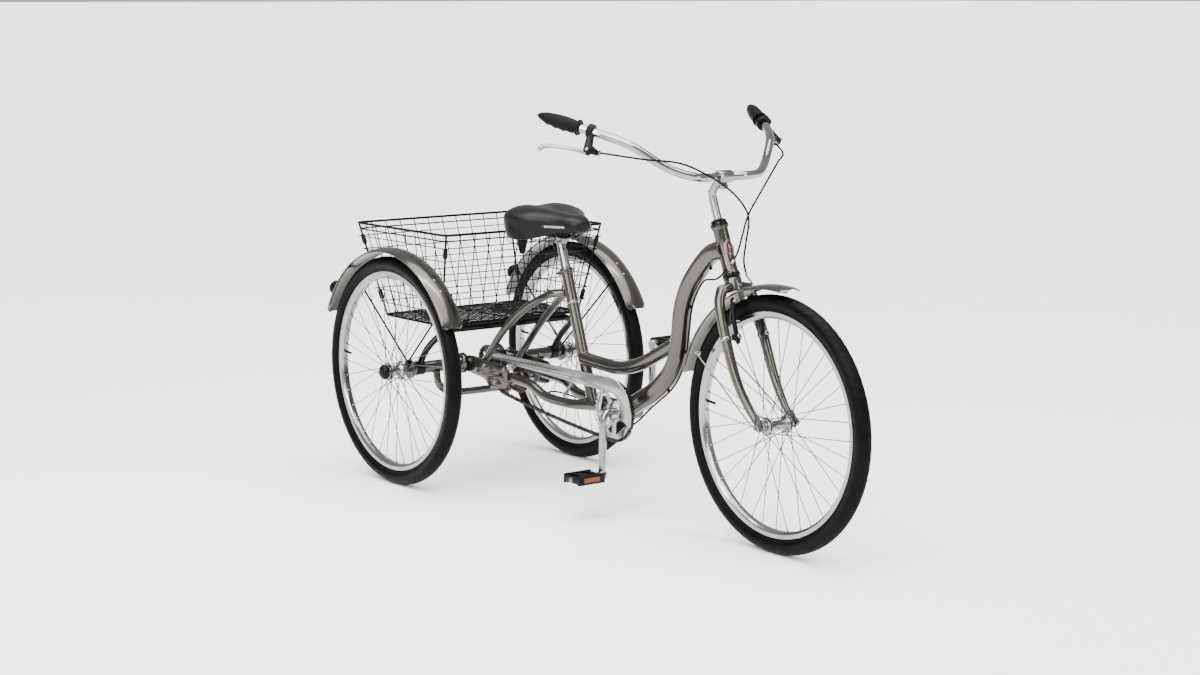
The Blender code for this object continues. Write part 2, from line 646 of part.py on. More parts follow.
def hub_mesh(place, bore, barrel, flange, spread, reach):
    """Return a hub with its spokes: the turned shell, its two flanges and crossed spokes out to the rim."""
    sheet = 0.0030
    half = [
        (bore, reach), (barrel * 0.85, reach), (barrel * 0.85, spread + sheet), (flange, spread + sheet / 2),
        (flange, spread - sheet / 2), (barrel, spread - 0.006),
    ]
    profile = half + [(radius, -height) for radius, height in reversed(half)]
    shell = turned_mesh(profile, Matrix.Identity(4), 14, ring=True)
    spokes = bmesh.new()
    outer_radius = (RIM_RADIUS - RIM_DEPTH) * math.cos(math.pi / WHEEL_STEPS) - GAP - SPOKE_RADIUS
    per_side = SPOKE_COUNT // 2
    crossing = 2.3  # how many spoke gaps of one flange a spoke leans by
    for index in range(SPOKE_COUNT):
        side = 1 if index % 2 else -1
        face = 1 if (index // 2) % 2 else -1  # which face of the flange its head sits on
        rim_turn = 2 * math.pi * index / SPOKE_COUNT
        hub_turn = rim_turn + face * crossing * 2 * math.pi / per_side
        seat, height = flange - 0.0045, side * (spread + face * 0.0022)
        start = Vector((seat * math.cos(hub_turn), seat * math.sin(hub_turn), height))
        end = Vector((outer_radius * math.cos(rim_turn), outer_radius * math.sin(rim_turn), side * 0.002))
        run = end - start
        turn = run.to_track_quat("Z", "Y").to_matrix().to_4x4()
        bmesh.ops.create_cone(
            spokes, cap_ends=True, segments=3, radius1=SPOKE_RADIUS, radius2=SPOKE_RADIUS,
            depth=run.length, matrix=Matrix.Translation((start + end) / 2) @ turn,
        )
    laced = bpy.data.meshes.new("spokes")
    spokes.to_mesh(laced)
    spokes.free()
    body, tool = loose("hub", shell), loose("spokes", laced)
    merge = body.modifiers.new("lace", "BOOLEAN")
    merge.operation = "UNION"
    merge.solver = "EXACT"
    merge.use_self = True
    merge.object = tool
    made = evaluated(body)
    bpy.data.objects.remove(tool, do_unlink=True)
    made.transform(place)
    return made


def build_wheel(name, centre, holder, hub):
    """Make a tyre, a rim and a laced hub, and hang them on their joint."""
    place = frame_to(centre, ACROSS, UP)
    pieces = (
        (f"{name}_tyre", turned_mesh(tyre_profile(), place, WHEEL_STEPS, ring=True), "rubber"),
        (f"{name}_rim", turned_mesh(rim_profile(), place, WHEEL_STEPS, ring=True), "alloy"),
        (f"{name}_hub", hub_mesh(place, **hub), "alloy"),
    )
    for piece, mesh, finish in pieces:
        hang(add(piece, mesh, finish), holder)


def build_wheels():
    """Make the three wheels and the front axle."""
    front = {"bore": 0.005 + GAP, "barrel": 0.0140, "flange": 0.024, "spread": 0.033, "reach": 0.044}
    rear = {"bore": AXLE_RADIUS + GAP, "barrel": 0.0160, "flange": 0.026, "spread": 0.020, "reach": REAR_HUB_REACH}
    build_wheel("front", FRONT_AXLE, FRONT_WHEEL, front)
    build_wheel("right", REAR_AXLE - HALF_TRACK * ACROSS, FREE_WHEEL, rear)
    build_wheel("left", REAR_AXLE + HALF_TRACK * ACROSS, DRIVE_WHEEL, rear)


# ---------------------------------------------------------------- rear axle and drive
def build_rear_axle():
    """Make the rear axle with its end caps and brake drum, its sprocket, and the fixed brake housing."""
    drum_in, drum_out, drum_radius = 0.024, 0.040, 0.040
    seat = HALF_TRACK + REAR_HUB_REACH + GAP
    cap = [(AXLE_RADIUS, seat), (0.0215, seat), (0.0215, seat + 0.008), (0.019, AXLE_CAP_REACH - 0.006)]
    cap += [(0.011, AXLE_CAP_REACH - 0.001), (0, AXLE_CAP_REACH)]
    drum = [(AXLE_RADIUS, drum_in), (drum_radius, drum_in), (drum_radius, drum_out), (AXLE_RADIUS, drum_out)]
    profile = [(radius, -across) for radius, across in reversed(cap)] + drum + cap
    axle = turned_mesh(profile, frame_to(REAR_AXLE, ACROSS, UP), 20)
    hang(add("rear_axle", axle, "alloy"), DRIVE_WHEEL)

    disc = pitch_radius(AXLE_TEETH) - CHAIN_HALF_HEIGHT - GAP
    line = AXLE_CHAIN_LINE
    profile = [
        (AXLE_RADIUS + GAP, line - 0.012), (0.016, line - 0.012), (0.016, line - 0.0015), (disc, line - 0.0015),
        (disc, line + 0.0015), (0.016, line + 0.0015), (0.016, line + 0.012), (AXLE_RADIUS + GAP, line + 0.012),
    ]
    sprocket = turned_mesh(profile, frame_to(REAR_AXLE, ACROSS, UP), 20, ring=True)
    hang(add("axle_sprocket", sprocket, "chain"), DRIVE_WHEEL)

    inner, outer = drum_radius + 0.001, drum_radius + 0.005
    profile = [
        (inner, drum_in - 0.001), (outer, drum_in - 0.001), (outer, drum_out + 0.004),
        (AXLE_RADIUS + 0.002, drum_out + 0.004), (AXLE_RADIUS + 0.002, drum_out + 0.001), (inner, drum_out + 0.001),
    ]
    housing = turned_mesh(profile, frame_to(REAR_AXLE, ACROSS, UP), 20, ring=True)
    lug = block_mesh((0.022, 0.012, 0.016), Matrix.Translation(REAR_AXLE + Vector((0.054, drum_out - 0.006, 0))))
    add("brake_housing", joined(housing, lug), "wire")
    pivot = REAR_AXLE + Vector((0.056, drum_out + 0.0065, 0))
    arm_axis = empty("rear_brake_arm_axis", pivot, UP)
    arm = block_mesh((0.058, 0.003, 0.011), Matrix.Translation(pivot + Vector((0.024, 0.0005, 0))), 0.001)
    hang(add("rear_brake_arm", arm, "alloy"), arm_axis)


def chain_loop(first, first_radius, second, second_radius, line, sag):
    """Return the closed path of a chain round two sprockets, first being the one ahead."""
    run = second - first
    distance = math.hypot(run.x, run.z)
    heading = math.atan2(run.z, run.x)
    lean = math.asin((first_radius - second_radius) / distance)
    path = []

    def arc(centre, radius, start, end, count):
        for index in range(count + 1):
            angle = start + (end - start) * index / count
            path.append(centre + Vector((radius * math.cos(angle), 0, radius * math.sin(angle))))

    quarter = math.pi / 2
    upper, lower = heading - quarter + lean, heading + quarter - lean
    arc(first, first_radius, lower - 2 * math.pi, upper, 14)
    tangent_end = second + second_radius * Vector((math.cos(upper), 0, math.sin(upper)))
    for share in (0.33, 0.67):
        path.append(path[-1].lerp(tangent_end, share if share < 0.5 else 0.5))
    arc(second, second_radius, upper, lower, 9)
    last, goal = path[-1], path[0]
    for share in (0.25, 0.5, 0.75):
        drop = 4 * sag * share * (1 - share)
        path.append(last.lerp(goal, share) - Vector((0, 0, drop)))
    return [point + Vector((0, line, 0)) for point in path]


def build_drive():
    """Make the crank, chainring, pedals, mid hub, both chains and the chain guard."""
    spin = frame_to(BRACKET, ACROSS, UP)
    down, out = Vector((0, 0, -CRANK_LENGTH)), 0.088
    arm_start, neck = 0.070, SHELL_HALF_LENGTH + 0.010
    path = [
        BRACKET + down - (out + 0.002) * ACROSS,
        BRACKET + 0.5 * down - (out - 0.003) * ACROSS,
        BRACKET + 0.10 * down - (arm_start + 0.013) * ACROSS,
        BRACKET - (arm_start + 0.003) * ACROSS,
        BRACKET - (neck + 0.014) * ACROSS,
        BRACKET - neck * ACROSS,
    ]
    opposite = [2 * BRACKET - point for point in path]
    crank = tube_mesh(smooth(path + opposite[::-1], 2), CRANK_RADIUS, 2)
    hang(add("crank", crank, "alloy"), CRANK_AXIS)

    ring = pitch_radius(CHAINRING_TEETH) - CHAIN_HALF_HEIGHT - GAP
    profile = [
        (CRANK_RADIUS + 0.0012, CHAIN_LINE - 0.0015), (ring, CHAIN_LINE - 0.0015),
        (ring, CHAIN_LINE + 0.0015), (CRANK_RADIUS + 0.0012, CHAIN_LINE + 0.0015),
    ]
    hang(add("chainring", turned_mesh(profile, spin, 32, ring=True), "chrome"), CRANK_AXIS)

    for side, sign in SIDES.items():
        end = BRACKET + sign * Vector((0, out, CRANK_LENGTH))
        inner = out + CRANK_RADIUS + 0.005
        middle = Vector((end.x, sign * (inner + PEDAL_LENGTH / 2), end.z))
        axis = empty(f"pedal_{side}_axis", middle, UP, CRANK_AXIS)
        body = block_mesh((PEDAL_WIDTH, PEDAL_LENGTH, PEDAL_HEIGHT), Matrix.Translation(middle), 0.003)
        boss = Vector((end.x, sign * (inner - 0.0025), end.z))
        body = joined(body, tube_mesh([boss, middle], 0.0065, 3))
        hang(add(f"pedal_{side}", body, "plastic"), axis)

    hub_disc = pitch_radius(HUB_TEETH) - CHAIN_HALF_HEIGHT - GAP
    inner_face = PLATE_OFFSET - PLATE_THICKNESS / 2 - 0.0015
    profile = [
        (0, -inner_face - 0.018), (0.005, -inner_face - 0.018), (0.005, -inner_face), (0.012, -inner_face),
        (0.012, -inner_face + 0.006), (0.024, CHAIN_LINE - 0.007), (hub_disc, CHAIN_LINE - 0.0015),
        (hub_disc, CHAIN_LINE + 0.0015), (0.022, CHAIN_LINE + 0.009), (0.017, CHAIN_LINE + 0.012),
        (0.017, AXLE_CHAIN_LINE - 0.006), (hub_disc, AXLE_CHAIN_LINE - 0.0015), (hub_disc, AXLE_CHAIN_LINE + 0.0015),
        (0.019, AXLE_CHAIN_LINE + 0.005), (0.019, 0.046), (0.012, 0.050), (0.012, inner_face), (0.005, inner_face),
        (0.005, inner_face + 0.018), (0, inner_face + 0.018),
    ]
    hang(add("mid_hub", turned_mesh(profile, frame_to(MID_HUB, ACROSS, UP), 16), "brass"), MID_AXIS)

    loops = (
        ("drive_chain", BRACKET, CHAINRING_TEETH, MID_HUB, HUB_TEETH, CHAIN_LINE, 0.006),
        ("axle_chain", MID_HUB, HUB_TEETH, REAR_AXLE, AXLE_TEETH, AXLE_CHAIN_LINE, 0.001),
    )
    for name, first, first_teeth, second, second_teeth, line, sag in loops:
        path = chain_loop(first, pitch_radius(first_teeth), second, pitch_radius(second_teeth), line, sag)
        add(name, tube_mesh(path, CHAIN_HALF_HEIGHT - GAP, 1, closed=True), "chain")
    build_chain_guard()


def build_chain_guard():
    """Make the guard: a band over the upper chain run that turns down round the front of the chainring."""
    outer, inner, tail_depth = 0.092, 0.053, 0.019
    tail = REAR_AXLE.x + 0.112 - BRACKET.x
    steps = 12
    front_end = math.radians(-18)
    top = [(tail, outer - tail_depth), (tail + 0.022, outer)]
    for index in range(steps + 1):
        angle = math.pi / 2 + (front_end - math.pi / 2) * index / steps
        top.append((outer * math.cos(angle), outer * math.sin(angle)))
    for index in range(steps + 1):
        angle = front_end + (math.pi / 2 - front_end) * index / steps
        top.append((inner * math.cos(angle), inner * math.sin(angle)))
    upright = Matrix.Rotation(math.radians(90), 4, "X")
    place = Matrix.Translation(BRACKET - 0.0625 * ACROSS) @ upright
    add("chain_guard", plate_mesh(top, 0.002, place), "guard")


# ---------------------------------------------------------------- steering
def blade_path(sign):
    """Return the points of one fork blade, from the crown down to the axle."""
    shares = ((CROWN_HEIGHT - 0.004, 0.0, 0.044), (0.325, -0.004, 0.058), (0.240, -0.006, 0.063))
    shares += ((0.140, -0.004, 0.063), (0.070, 0.008, 0.060), (0.020, 0.024, 0.058))
    return smooth([on_steering(up, ahead, sign * across) for up, ahead, across in shares], 3)


def build_fork():
    """Make the fork: steerer, crown, two blades and dropouts, and the axle that it holds."""
    lip = HEAD_BOTTOM - CUP_HEIGHT - GAP
    bore, steerer_top = QUILL_RADIUS + 3 * GAP, HEAD_TOP + CUP_HEIGHT + 0.008
    profile = [
        (0, CROWN_HEIGHT - 0.012), (0.022, CROWN_HEIGHT - 0.012), (0.022, lip - 0.003), (0.020, lip),
        (STEERER_RADIUS, lip), (STEERER_RADIUS, HEAD_TOP + CUP_HEIGHT + GAP), (0.021, HEAD_TOP + CUP_HEIGHT + GAP),
        (0.021, steerer_top - 0.002), (0.019, steerer_top), (bore, steerer_top), (bore, 0.44), (0, 0.44),
    ]
    steerer = turned_mesh(profile, frame_to(STEER_FOOT, STEER_UP), 20)
    crown_place = frame_to(on_steering(CROWN_HEIGHT), STEER_UP)
    crown = block_mesh((0.034, 0.112, 0.024), crown_place, 0.008)
    blades = []
    for sign in SIDES.values():
        path = blade_path(sign)
        count = len(path) - 1
        scales = [1 - 0.42 * (index / count) ** 2 for index in range(count + 1)]
        blades.append(tube_mesh(path, BLADE_RADIUS, 3, scales=scales))
        tip = FRONT_AXLE + Vector((0, sign * 0.058, 0))
        outline = [(-0.016, 0.026), (0.004, 0.030), (0.012, 0.006), (0.010, -0.008), (0, -0.012), (-0.010, -0.008)]
        place = frame_to(tip, ACROSS, STEER_UP)
        blades.append(plate_mesh([(-x, y) for x, y in outline], 0.006, place, [(0, 0, 0.0056)]))
    hang(add("fork", joined(crown, *blades, steerer), "paint"), STEERING)
    half = [(0.005, 0.0), (0.005, 0.0615), (0.0095, 0.0615), (0.0095, 0.070), (0.005, 0.071), (0.005, 0.076), (0, 0.076)]
    profile = [(radius, -across) for radius, across in reversed(half)] + half
    hang(add("front_axle", turned_mesh(profile, frame_to(FRONT_AXLE, ACROSS, UP), 16), "alloy"), STEERING)


def bar_half():
    """Return one side of the swept handlebar, from the clamp to the end inside the grip."""
    clamp = on_steering(0.641, 0.060)
    offsets = (
        (0.000, 0.000, 0.000), (0.014, 0.060, 0.001), (0.010, 0.110, 0.006), (-0.030, 0.166, 0.030),
        (-0.082, 0.228, 0.080), (-0.138, 0.268, 0.105), (-0.204, 0.3015, 0.124), (-0.2686, 0.3342, 0.1426),
    )
    return [clamp + Vector(offset) for offset in offsets]


def grip_line():
    """Return the grip's inner end and the direction that it points in, on the left side."""
    inner, outer = bar_half()[-2], bar_half()[-1]
    return inner, (outer - inner).normalized()


def mirrored(point, sign):
    """Return a left-hand point on the side that the sign asks for."""
    return Vector((point.x, sign * point.y, point.z))


def build_stem_and_bar():
    """Make the quill stem, the handlebar and the grips."""
    half = bar_half()
    clamp = half[0]
    quill = [on_steering(0.4405), on_steering(0.592), on_steering(0.612, 0.005), on_steering(0.626, 0.025), clamp]
    stem = tube_mesh(smooth(quill, 3), QUILL_RADIUS, 3)
    sleeve = tube_mesh([clamp - 0.023 * ACROSS, clamp + 0.023 * ACROSS], 0.0165, 4)
    bore = tube_mesh([clamp - 0.05 * ACROSS, clamp + 0.05 * ACROSS], BAR_RADIUS + 0.0006, 4)
    hang(add("stem", cut_away(joined(stem, sleeve), bore), "alloy"), STEERING)

    left = smooth([clamp + 0.026 * ACROSS, *half[1:-1]], 2) + [half[-1]]
    right = [mirrored(point, -1) for point in left][::-1]
    hang(add("handlebar", tube_mesh(right + left, BAR_RADIUS, 2), "chrome"), STEERING)

    inner, along = grip_line()
    length = 0.122
    bar_end = (half[-1] - half[-2]).length + GAP
    bore = BAR_RADIUS + 0.0006
    profile = [
        (bore, 0.0), (GRIP_RADIUS + 0.004, 0.0), (GRIP_RADIUS + 0.004, 0.006), (GRIP_RADIUS - 0.001, 0.009),
        (GRIP_RADIUS + 0.0015, 0.042), (GRIP_RADIUS, 0.072), (GRIP_RADIUS - 0.004, 0.098), (0.005, length - 0.004),
        (0, length), (0, bar_end), (bore, bar_end),
    ]
    for side, sign in SIDES.items():
        place = frame_to(mirrored(inner, sign), mirrored(along, sign), UP)
        hang(add(f"grip_{side}", turned_mesh([*profile, profile[0]], place, 16), "rubber"), STEERING)


def lever_places(sign):
    """Return a lever's clamp centre, bar direction, pivot and blade tip."""
    half = bar_half()
    path = smooth(half[:-1], 2)
    along = (path[-1] - path[-2]).normalized()
    clamp = path[-1] - LEVER_CLAMP_REACH * along
    pivot = clamp + Vector((0.024, 0.030, -0.048))
    tip = half[-2] + Vector((-0.056, 0.082, -0.051))
    return [mirrored(value, sign) for value in (clamp, along, pivot, tip)]


def lever_nose(clamp, sign):
    """Return where the cable leaves the bracket whose clamp centre this is."""
    return clamp + Vector((0.038, sign * 0.008, -0.052))


def build_levers():
    """Make the brake lever brackets and blades."""
    for side, sign in SIDES.items():
        clamp, along, pivot, tip = lever_places(sign)
        ring = turned_mesh(
            [(BAR_RADIUS + 0.0024, -0.006), (0.0190, -0.006), (0.0190, 0.006), (BAR_RADIUS + 0.0024, 0.006)],
            frame_to(clamp, along, UP), 16, ring=True,
        )
        down = (pivot - clamp).normalized()
        nose = lever_nose(clamp, sign)
        body = tube_mesh([clamp + 0.0172 * down, pivot - 0.006 * down], 0.0100, 2)
        barrel = tube_mesh([pivot - 0.010 * down, nose], 0.0085, 2)
        bracket = joined(ring, body, barrel)
        hang(add(f"lever_bracket_{side}", bracket, "plastic"), STEERING)

        blade_run = tip - pivot
        squeeze = (mirrored(grip_line()[0], sign) - pivot).normalized()
        axis = blade_run.cross(squeeze).normalized()
        holder = empty(f"brake_lever_{side}_axis", pivot, axis, STEERING)
        bow = 0.010 * squeeze
        start = pivot + 0.012 * blade_run.normalized() + 0.006 * down
        path = [start, pivot + 0.35 * blade_run + 0.6 * bow, pivot + 0.7 * blade_run + bow, tip]
        blade = tube_mesh(smooth(path, 3), 0.0048, 2)
        hang(add(f"brake_lever_{side}", blade, "alloy"), holder)


def build_front_brake():
    """Make the two front brake arms, each with its pad beside the rim."""
    for side, sign in SIDES.items():
        pivot = on_steering(0.236, 0.018, sign * 0.046)
        top = on_steering(0.338, 0.026, sign * 0.038)
        holder = empty(f"brake_arm_{side}_axis", pivot, STEER_FORWARD, STEERING)
        arm = tube_mesh([pivot - 0.012 * STEER_UP, pivot, pivot.lerp(top, 0.5) + sign * 0.004 * ACROSS, top], 0.0058, 2)
        height = math.sqrt((RIM_RADIUS - 0.0065) ** 2 - (FORK_RAKE - 0.018) ** 2)
        pad = on_steering(height, 0.018, sign * (RIM_HALF_WIDTH + 0.0070))
        shoe = block_mesh((0.042, 0.009, 0.010), frame_to(pad, STEER_UP), 0.002)
        post = tube_mesh([pad, on_steering(height, 0.020, sign * 0.046)], 0.0035, 2)
        hang(add(f"brake_arm_{side}", joined(arm, shoe, post), "alloy"), holder)


def build_front_fender():
    """Make the front fender with its mounting tab under the crown."""
    hang(add("front_fender", arc_sheet(FRONT_AXLE, 81.0, 165.0, 14), "paint"), STEERING)


def cable_mesh(points):
    """Return a cable along a smooth curve through the points."""
    return tube_mesh(smooth(points, 3), CABLE_RADIUS, 1)


def build_cables():
    """Make the brake cables: the front one on the steering, the rear one in a loose loop and a clipped run."""
    start = lever_nose(lever_places(SIDES["right"])[0], SIDES["right"]) + Vector((0.010, 0.006, 0.0))
    front = [
        start, on_steering(0.701, 0.050, -0.235), on_steering(0.679, 0.074, -0.145),
        on_steering(0.6365, 0.106, -0.095), on_steering(0.600, 0.110, -0.045), on_steering(0.557, 0.108, -0.005),
        on_steering(0.517, 0.097, 0.015), on_steering(0.470, 0.058, 0.024), on_steering(0.425, 0.034, 0.022),
        on_steering(0.385, 0.031, 0.022),
    ]
    hang(add("front_brake_cable", cable_mesh(front), "rubber"), STEERING)

    start = lever_nose(lever_places(SIDES["left"])[0], SIDES["left"]) + Vector((0.010, -0.006, 0.0))
    anchor = on_steering(HEAD_BOTTOM + 0.020, 0.035, -0.020)
    loop = [
        start, on_steering(0.700, 0.036, 0.240), on_steering(0.678, 0.037, 0.215), on_steering(0.640, 0.043, 0.170),
        on_steering(0.598, 0.043, 0.125), on_steering(0.544, 0.040, 0.070), on_steering(0.490, 0.040, 0.032),
        on_steering(0.450, 0.036, 0.008), anchor,
    ]
    add("rear_cable_loop", cable_mesh(loop), "rubber")

    below = []
    path = main_tube_path()
    hold = MAIN_TUBE_RADIUS + CABLE_RADIUS + 0.0050
    for index in range(3, len(path) - 3, 3):
        run = (path[index + 1] - path[index - 1]).normalized()
        below.append(path[index] + hold * run.cross(ACROSS).normalized())
    if below[0].z > path[3].z:
        below = [2 * path[3 + 3 * index] - point for index, point in enumerate(below)]
    below.reverse()
    arm_end = REAR_AXLE + Vector((0.105, 0.0465, 0.0))
    under = [
        anchor + Vector((-0.0035, -0.003, -0.006)), on_steering(HEAD_BOTTOM - 0.004, -0.020, -0.031),
        *below,
        BRACKET + Vector((0.020, 0.006, -SHELL_RADIUS - 0.009)), BRACKET + Vector((-0.050, 0.044, -0.026)),
        Vector((BRACKET.x - 0.240, 0.066, BRACKET.z - 0.024)), Vector((MID_HUB.x + 0.100, 0.064, MID_HUB.z - 0.030)),
        Vector((MID_HUB.x + 0.020, 0.058, MID_HUB.z - 0.042)), arm_end + Vector((0.012, 0, -0.014)),
    ]
    add("rear_brake_cable", cable_mesh(under), "rubber")


# ---------------------------------------------------------------- seat
def saddle_mesh():
    """Return the saddle: a rounded wide back that runs out into a short nose."""
    top = on_seat_tube(SEAT_POST_TOP)
    stations = (
        (-0.142, 0.060, 0.092, 0.048, 0.016), (-0.130, 0.106, 0.101, 0.040, 0.036),
        (-0.090, 0.122, 0.105, 0.039, 0.045), (-0.040, 0.114, 0.101, 0.038, 0.043),
        (0.005, 0.084, 0.095, 0.037, 0.030), (0.050, 0.052, 0.088, 0.036, 0.014),
        (0.088, 0.038, 0.080, 0.035, 0.004), (0.112, 0.022, 0.066, 0.040, 0.0),
    )
    sides = 14
    shape = bmesh.new()
    rings = []
    for along, half_width, high, low, skirt in stations:
        middle = low + 0.45 * (high - low)
        ring = []
        for angle in turns(sides, math.pi / sides):
            across = math.cos(angle)
            height = math.sin(angle)
            share = max(0.0, 1 - abs(abs(across) - 0.80) / 0.20) if height < 0 else 0.0
            height = middle + height * (high - middle if height > 0 else middle - low) - share * skirt
            if math.sin(angle) < 0 and 0.2 < abs(across) < 0.6:
                across = math.copysign(0.64, across)
            ring.append(shape.verts.new(top + Vector((along, half_width * across, height))))
        rings.append(ring)
    for first, second in zip(rings, rings[1:]):
        for index in range(sides):
            following = (index + 1) % sides
            shape.faces.new((first[index], first[following], second[following], second[index]))
    shape.faces.new(rings[0])
    shape.faces.new(rings[-1])
    mesh = bpy.data.meshes.new("saddle")
    shape.to_mesh(mesh)
    shape.free()
    return closed_mesh(mesh)


def build_seat():
    """Make the seat post, the saddle and the saddle's rails with their two rubber bumpers."""
    start = SEAT_TUBE_LENGTH - SEAT_POST_DEPTH + 0.110
    post = tube_mesh([on_seat_tube(start), on_seat_tube(SEAT_POST_TOP)], SEAT_POST_RADIUS, 4)
    hang(add("seat_post", post, "alloy"), SEAT_SLIDE)
    hang(add("saddle", saddle_mesh(), "saddle"), SEAT_SLIDE)
    top = on_seat_tube(SEAT_POST_TOP)
    clamp = block_mesh((0.040, 0.030, 0.020), Matrix.Translation(top + Vector((0, 0, 0.0175))), 0.003)
    bar = tube_mesh([top + Vector((-0.100, y, 0.018)) for y in (-0.075, 0.075)], 0.005, 2)
    others = [bar]
    for sign in SIDES.values():
        others.append(tube_mesh([top + Vector((x, sign * 0.012, 0.018)) for x in (-0.104, 0.060)], 0.004, 2))
        profile = [(0, -0.038), (0.008, -0.036), (0.013, -0.012), (0.020, 0.018), (0, 0.018)]
        others.append(turned_mesh(profile, frame_to(top + Vector((-0.100, sign * 0.060, 0.0)), UP), 12))
    hang(add("saddle_frame", joined(clamp, *others), "plastic"), SEAT_SLIDE)


build_head_tube()
build_frame()
build_axle_carrier()
build_basket()
build_fenders()
build_wheels()
build_rear_axle()
build_drive()
build_fork()
build_stem_and_bar()
build_levers()
build_front_brake()
build_front_fender()
build_cables()
build_seat()
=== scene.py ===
"""Looks of an adult tricycle: its wheels, painted frame, wire basket, saddle, bar, brakes and drive."""

from __future__ import annotations

import json
import logging
import math
from dataclasses import dataclass, field
from enum import Enum
from typing import Callable, Sequence

import bmesh
import bpy
from mathutils import Matrix, Vector


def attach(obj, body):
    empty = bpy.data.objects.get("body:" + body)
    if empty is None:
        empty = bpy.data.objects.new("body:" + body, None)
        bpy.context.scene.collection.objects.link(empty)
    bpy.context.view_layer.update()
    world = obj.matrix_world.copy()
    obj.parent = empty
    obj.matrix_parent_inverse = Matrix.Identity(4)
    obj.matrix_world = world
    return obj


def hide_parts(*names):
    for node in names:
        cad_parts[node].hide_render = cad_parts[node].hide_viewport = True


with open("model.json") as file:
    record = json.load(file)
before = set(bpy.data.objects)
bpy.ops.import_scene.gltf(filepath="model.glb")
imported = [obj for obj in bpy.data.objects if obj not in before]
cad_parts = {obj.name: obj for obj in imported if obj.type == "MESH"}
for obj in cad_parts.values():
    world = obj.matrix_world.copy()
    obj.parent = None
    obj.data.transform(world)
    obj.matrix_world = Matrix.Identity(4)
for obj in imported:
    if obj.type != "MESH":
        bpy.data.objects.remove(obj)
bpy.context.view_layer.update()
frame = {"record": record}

LOG = logging.getLogger("tricycle")
Colour = tuple[float, float, float]
Outline = Sequence[tuple[float, float]]

ACROSS = Vector((0.0, 1.0, 0.0))
UP = Vector((0.0, 0.0, 1.0))
SIDES = {"right": -1, "left": 1}


# ---------------------------------------------------------------- places
def joint_place(name: str) -> Vector:
    """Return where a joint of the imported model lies.

    Args:
        name: the joint's name in the record.

    Returns:
        A point on the joint's axis.
    """
    for joint in frame["record"]["behaviour"]["joints"]:
        if joint["name"] == name:
            return Vector(joint["pos_m"])
    raise KeyError(name)


def mirrored(point: Vector, sign: int = -1) -> Vector:
    """Return a left-hand point on the side that the sign asks for."""
    return Vector((point.x, sign * point.y, point.z))


def smooth(points: Sequence[Vector], steps: int = 6, closed: bool = False) -> list[Vector]:
    """Return points along a smooth curve through the given ones.

    Args:
        points: the points that the curve passes through.
        steps: how many points each span gets.
        closed: whether the curve comes back to its start.

    Returns:
        The curve's points.
    """
    count = len(points)

    def at(index: int) -> Vector:
        if closed:
            return Vector(points[index % count])
        if index < 0:
            return 2 * Vector(points[0]) - Vector(points[1])
        if index >= count:
            return 2 * Vector(points[-1]) - Vector(points[-2])
        return Vector(points[index])

    found = []
    for span in range(count if closed else count - 1):
        a, b, c, d = (at(span + offset) for offset in (-1, 0, 1, 2))
        for step in range(steps):
            t = step / steps
            cubic = (3 * b - a - 3 * c + d) * t**3
            found.append(0.5 * (2 * b + (c - a) * t + (2 * a - 5 * b + 4 * c - d) * t**2 + cubic))
    if not closed:
        found.append(Vector(points[-1]))
    return found


def frame_to(origin: Vector, up: Vector, across: Vector = ACROSS) -> Matrix:
    """Return the matrix that puts local Z along up and local Y towards across, at the origin.

    Args:
        origin: where the local origin goes.
        up: where local Z points.
        across: where local Y points, as nearly as up allows.

    Returns:
        A rigid 4 by 4 matrix.
    """
    up = Vector(up).normalized()
    ahead = Vector(across).cross(up).normalized()
    turn = Matrix((ahead, up.cross(ahead), up)).transposed()
    return Matrix.Translation(origin) @ turn.to_4x4()


def sideways(origin: Vector, sign: int = 1) -> Matrix:
    """Return the place at the origin whose local Z points left, or right where the sign is -1."""
    return frame_to(origin, sign * ACROSS, UP)


def turns(count: int, start: float = 0.0) -> list[float]:
    """Return so many angles, in radians, spread evenly round a circle."""
    return [start + 2 * math.pi * index / count for index in range(count)]


def in_plane(radius: float, angle: float) -> Vector:
    """Return the point of the XZ plane at this radius and this angle, in radians, from +X towards +Z."""
    return Vector((radius * math.cos(angle), 0.0, radius * math.sin(angle)))


def rounded(outline: Outline, radius: float, steps: int = 5) -> list[tuple[float, float]]:
    """Return an outline with its corners rounded.

    Args:
        outline: the corners in order.
        radius: how far from a corner its rounding starts.
        steps: how many points each corner gets, less one.

    Returns:
        The rounded outline.
    """
    corners = [Vector((x, y)) for x, y in outline]
    found = []
    for index, corner in enumerate(corners):
        before, after = corners[index - 1], corners[(index + 1) % len(corners)]
        start = corner + (before - corner).normalized() * min(radius, (before - corner).length * 0.45)
        end = corner + (after - corner).normalized() * min(radius, (after - corner).length * 0.45)
        for step in range(steps + 1):
            t = step / steps
            point = (1 - t) ** 2 * start + 2 * t * (1 - t) * corner + t * t * end
            found.append((point.x, point.y))
    return found


